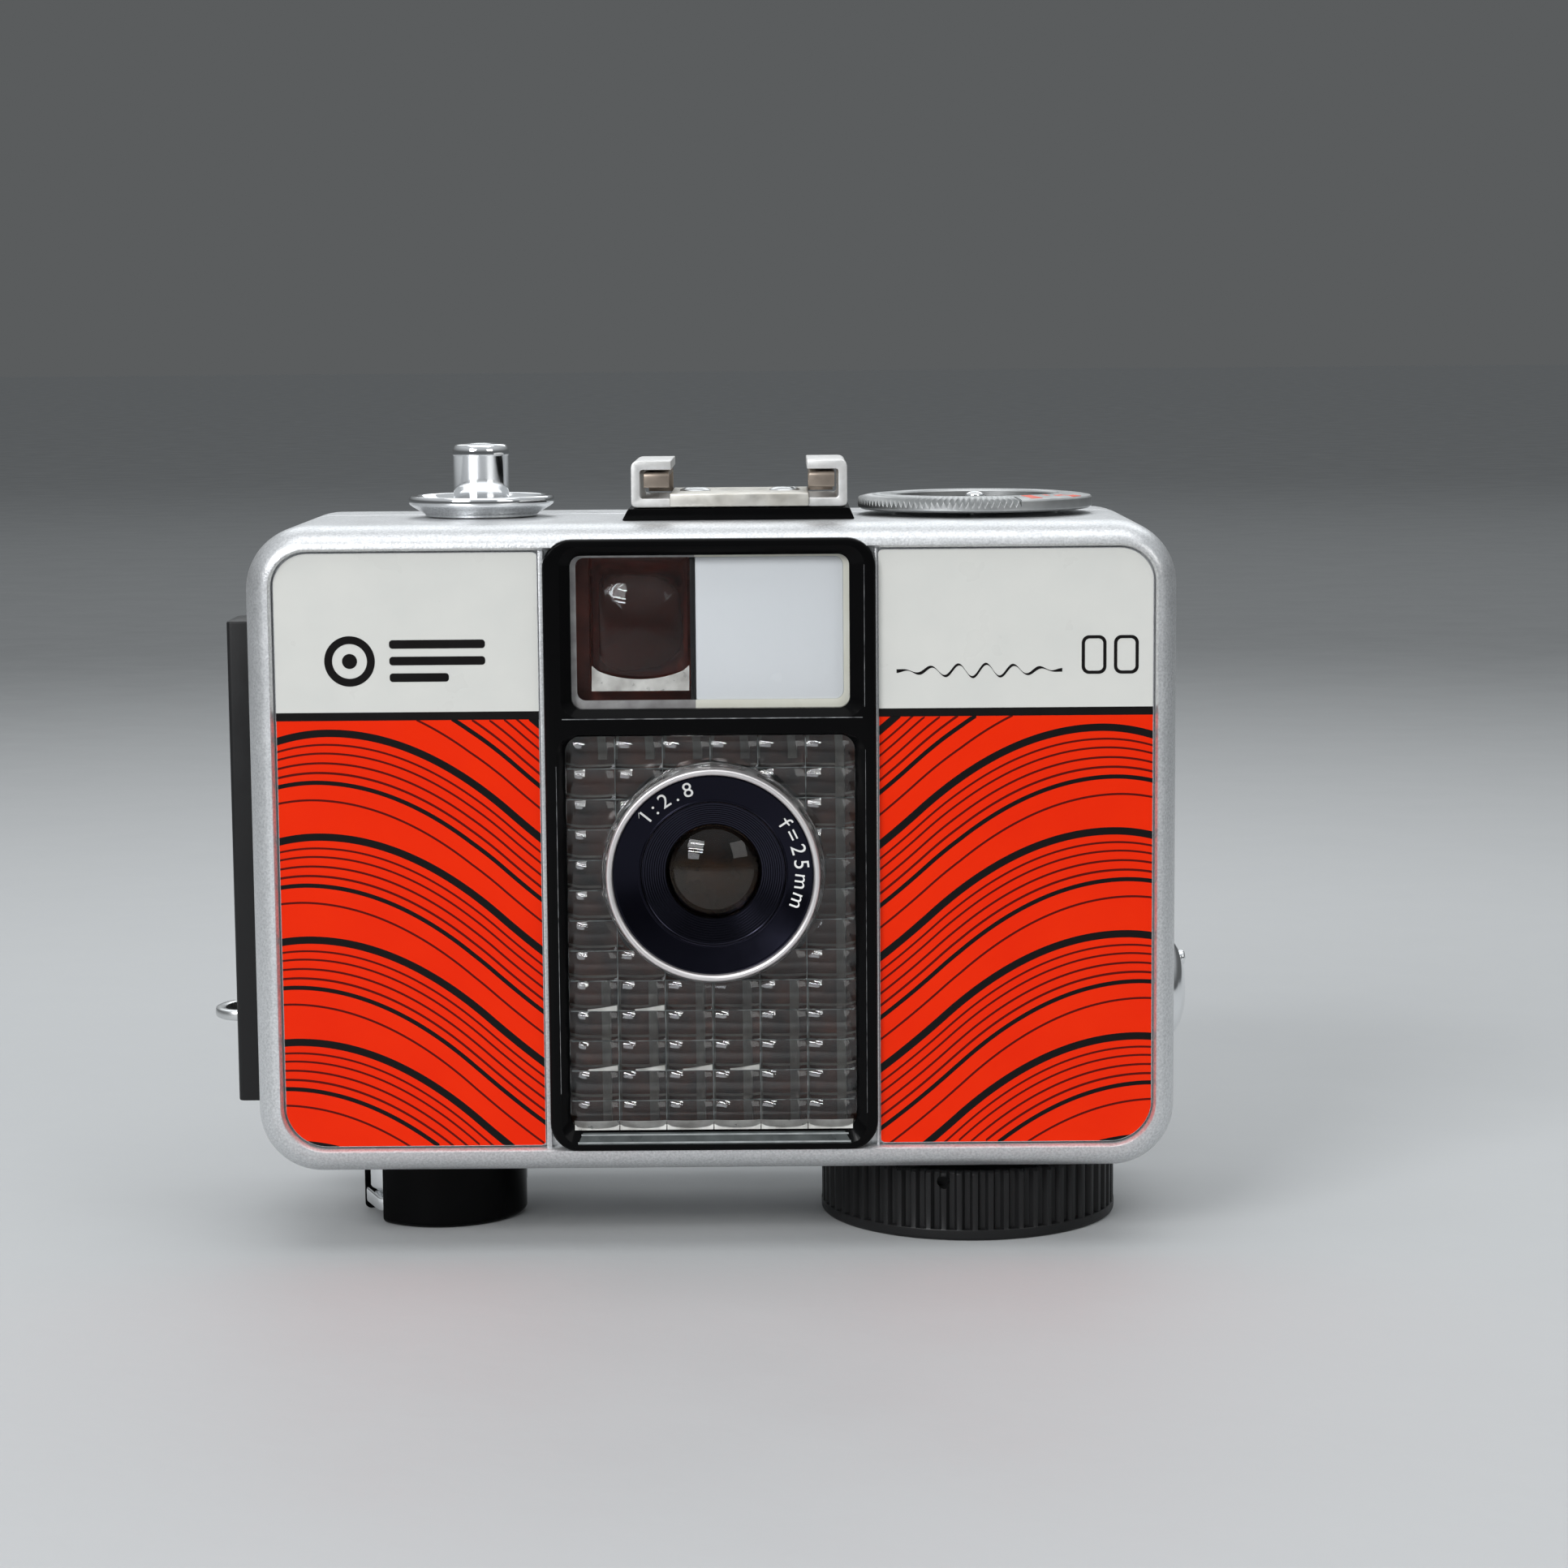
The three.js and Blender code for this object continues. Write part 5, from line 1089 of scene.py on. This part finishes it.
def sides():
    strip = rounded(-46.8, -43.65, 11.4, 19.2, 0.5, steps=5)
    plate_loop = [(-44.6, 18.6), (-43.65, 18.6), (-43.65, 21.2), (-44.6, 21.2)]
    fixed(
        "side_strip", joined(column(strip, 4.9, 51.8), column(plate_loop, 5.3, 51.4)), SATIN_BLACK, ["side_plate"],
        bevel=0.18
    )
    leaf = [(-44.6, 21.5), (-43.65, 21.5), (-43.65, 29.5), (-44.6, 29.5)]
    piece("back_hinge_leaf", column(leaf, 5.3, 51.4), "door", SATIN_BLACK, ["door_leaf"], bevel=0.18)
    spans = {"root": ((5, 14), (24, 33), (43, 51.6)), "door": ((14.3, 23.7), (33.3, 42.7))}
    for body, pairs in spans.items():
        knuckles = [
            turned("z", soften([(0.9, a), (1.5, a, 0.2), (1.5, b, 0.2), (0.9, b)]), (*HINGE, 0), 40) for a, b in pairs
        ]
        piece(f"hinge_knuckles_{body}", joined(*knuckles), body, SATIN_BLACK)
    pin = soften([(0, 4.9), (0.5, 4.9, 0.2), (0.7, 5.1), (0.7, 51.4), (0.5, 51.7), (0, 51.7)])
    fixed("hinge_rod", turned("z", pin, (*HINGE, 0), 32), STEEL, ["hinge_pin"])

    middle, reach, half = 15.3, 2.8, 3.4
    bend = -49.4 + reach

    def loop(shrink, z, hole=False):
        """Oval of wire: its far half is an arc, and its near half another arc or, outside, a straight root."""
        def arc(start, steps):
            turns = [start + pi * i / 32 for i in steps]
            return [(bend + (reach - shrink) * cos(a), middle + (half - shrink) * sin(a), z) for a in turns]

        near = range(1, 32)
        root = [(-43.9, middle - (half - shrink) * (1 - 2 * (i / 32)), z) for i in near]
        return arc(pi / 2, range(33)) + (arc(1.5 * pi, near) if hole else root)

    heights = (12.7, 12.8, 13.0, 13.4, 13.6, 13.7)
    outer = [loop(shrink, z) for shrink, z in zip((0.3, 0.08, 0.0, 0.0, 0.08, 0.3), heights)]
    inner = [loop(shrink, z, True) for shrink, z in zip((0.8, 0.98, 1.06, 1.06, 0.98, 0.8), heights)]
    fixed("strap_loop", plate(outer, [inner]), STEEL, ["strap_lug"])

    dome = soften(
        [(0, 41.4), (3.2, 41.4), (3.2, 42.1), (1.8, 42.1), (1.8, 43.6), (5.15, 43.6), (5.15, 44.2, 0.15),
        (4.7, 44.85, 0.3), (3.8, 45.45, 0.4), (2.4, 45.9, 0.5), (0, 46.15)], steps=5
    )
    key = turned("x", dome, (0, MID_Y, 14.5), 96)
    nub = turned("x", soften([(0, 44), (0.75, 44), (0.75, 46.0, 0.25), (0, 46.2)]), (0, MID_Y, 17.4), 32)
    nose = block(41.4, 42.1, MID_Y, MID_Y + 4, 13.5, 15.5)
    piece("latch_key", joined(key, nub, nose), "latch", CHROME, ["latch_knob"])


front_shell()
back_shell()
eyepiece()
for panel_side in PANELS:
    printed_panel(panel_side)
emblems()
bezel()
upper_windows()
meter_window()
lens()
shoe()
release()
dial()
winder()
rewind()
underside()
sides()

# ---- Floor, light and camera -----------------------------------------------------------------


def two_tone(nodes, links, value, low, high):
    """Colour ramp between two (position, colour) stops."""
    ramp = nodes.new("ShaderNodeValToRGB")
    for stop, (position, color) in zip(ramp.color_ramp.elements, (low, high)):
        stop.position, stop.color = position, (*color, 1)
    links.new(value, ramp.inputs["Fac"])
    return ramp


def pale_floor():
    """Pale matt floor with painted shade: its colour darkens slowly away from the camera that stands on it, where the
    lamps' light falls off.
    """
    near, far = (0.5, 0.51, 0.515), (0.13, 0.135, 0.137)
    mat = finish("pale_floor", "satin_silver", near, 0.6, grain=(3.0, 0.05), wear=(20.0, 0.15))
    nodes, links = mat.node_tree.nodes, mat.node_tree.links
    place = nodes.new("ShaderNodeTexCoord")
    away = nodes.new("ShaderNodeVectorMath")
    away.operation = "LENGTH"
    links.new(place.outputs["Object"], away.inputs[0])
    # Painted shade: the colour ramps from pale near the camera to dark far from it.
    ramp = two_tone(nodes, links, away.outputs["Value"], (0.12, near), (0.7, far))
    ramp.color_ramp.interpolation = "EASE"
    links.new(ramp.outputs["Color"], nodes["Principled BSDF"].inputs["Base Color"])
    return mat


REACH = 9  # half the floor's side in metres
floor_mesh = bpy.data.meshes.new("floor")
floor_mesh.from_pydata(
    [(x * REACH, y * REACH, 0) for x, y in ((-1, -1), (1, -1), (1, 1), (-1, 1))], [], [(0, 1, 2, 3)]
)
floor = placed("floor", floor_mesh)
floor.data.materials.append(pale_floor())


HEART = Vector((0.0, 0.0, 0.038))  # the point that every lamp faces


def softbox(name, place, size, power, color=(1, 1, 1)):
    light = bpy.data.lights.new(name, "AREA")
    light.shape, light.size, light.size_y = "RECTANGLE", size[0], size[1]
    light.energy, light.color = power, color
    lamp = placed(name, light)
    lamp.location = place
    lamp.rotation_euler = (HEART - Vector(place)).to_track_quat("-Z", "Y").to_euler()


softbox("sky", (0.0, -0.1, 1.3), (1.4, 1.0), 6.0, (0.98, 0.985, 1.0))
softbox("window", (-0.52, -0.8, 0.7), (0.5, 0.24), 2.5, (0.97, 0.985, 1.0))
softbox("low_window", (-0.55, -0.85, 0.34), (0.34, 0.16), 0.9, (0.93, 0.95, 1.0))
softbox("fill", (0.75, -0.8, 0.55), (0.5, 0.5), 1.5, (1.0, 0.99, 0.97))
softbox("rear", (0.1, 1.2, 0.9), (1.4, 0.6), 4, (0.95, 0.98, 1.0))
for index, lift in enumerate((-0.08, 0.0, 0.17)):
    softbox(f"tube_{index}", (-0.45, -0.76, 0.5 + lift), (0.4, 0.026), 1.1)


def soft_room():
    """Light from above, dim at the level of the horizon."""
    world = bpy.data.worlds.new("soft_room")
    world.use_nodes = True
    nodes, links = world.node_tree.nodes, world.node_tree.links
    place = nodes.new("ShaderNodeTexCoord")
    split = nodes.new("ShaderNodeSeparateXYZ")
    links.new(place.outputs["Generated"], split.inputs["Vector"])
    low, high = (0.1, (0.17, 0.178, 0.182)), (0.65, (0.86, 0.9, 0.93))
    ramp = two_tone(nodes, links, split.outputs["Z"], low, high)
    links.new(ramp.outputs["Color"], nodes["Background"].inputs["Color"])
    nodes["Background"].inputs["Strength"].default_value = 0.6
    bpy.context.scene.world = world


soft_room()
bpy.context.scene.view_settings.view_transform = "Standard"


def photograph_camera():
    """Camera above and in front of the lens axis, tilted down 7 degrees."""
    pitch, roll = 0.1256, -0.0079
    right, down, ahead = Vector((1, 0, 0)), Vector((0, 0, -1)), Vector((0, 1, 0))
    down, ahead = cos(pitch) * down - sin(pitch) * ahead, sin(pitch) * down + cos(pitch) * ahead
    right, down = cos(roll) * right - sin(roll) * down, sin(roll) * right + cos(roll) * down
    lens_data = bpy.data.cameras.new("camera")
    lens_data.sensor_width, lens_data.lens = 36.0, 81.1
    lens_data.clip_start = 0.01
    camera = placed("camera", lens_data)
    place = ORIGIN + Vector((6.66, -326.95, 78.39)) * MM
    camera.matrix_world = Matrix.Translation(place) @ Matrix((right, -down, -ahead)).transposed().to_4x4()
    bpy.context.scene.camera = camera


photograph_camera()
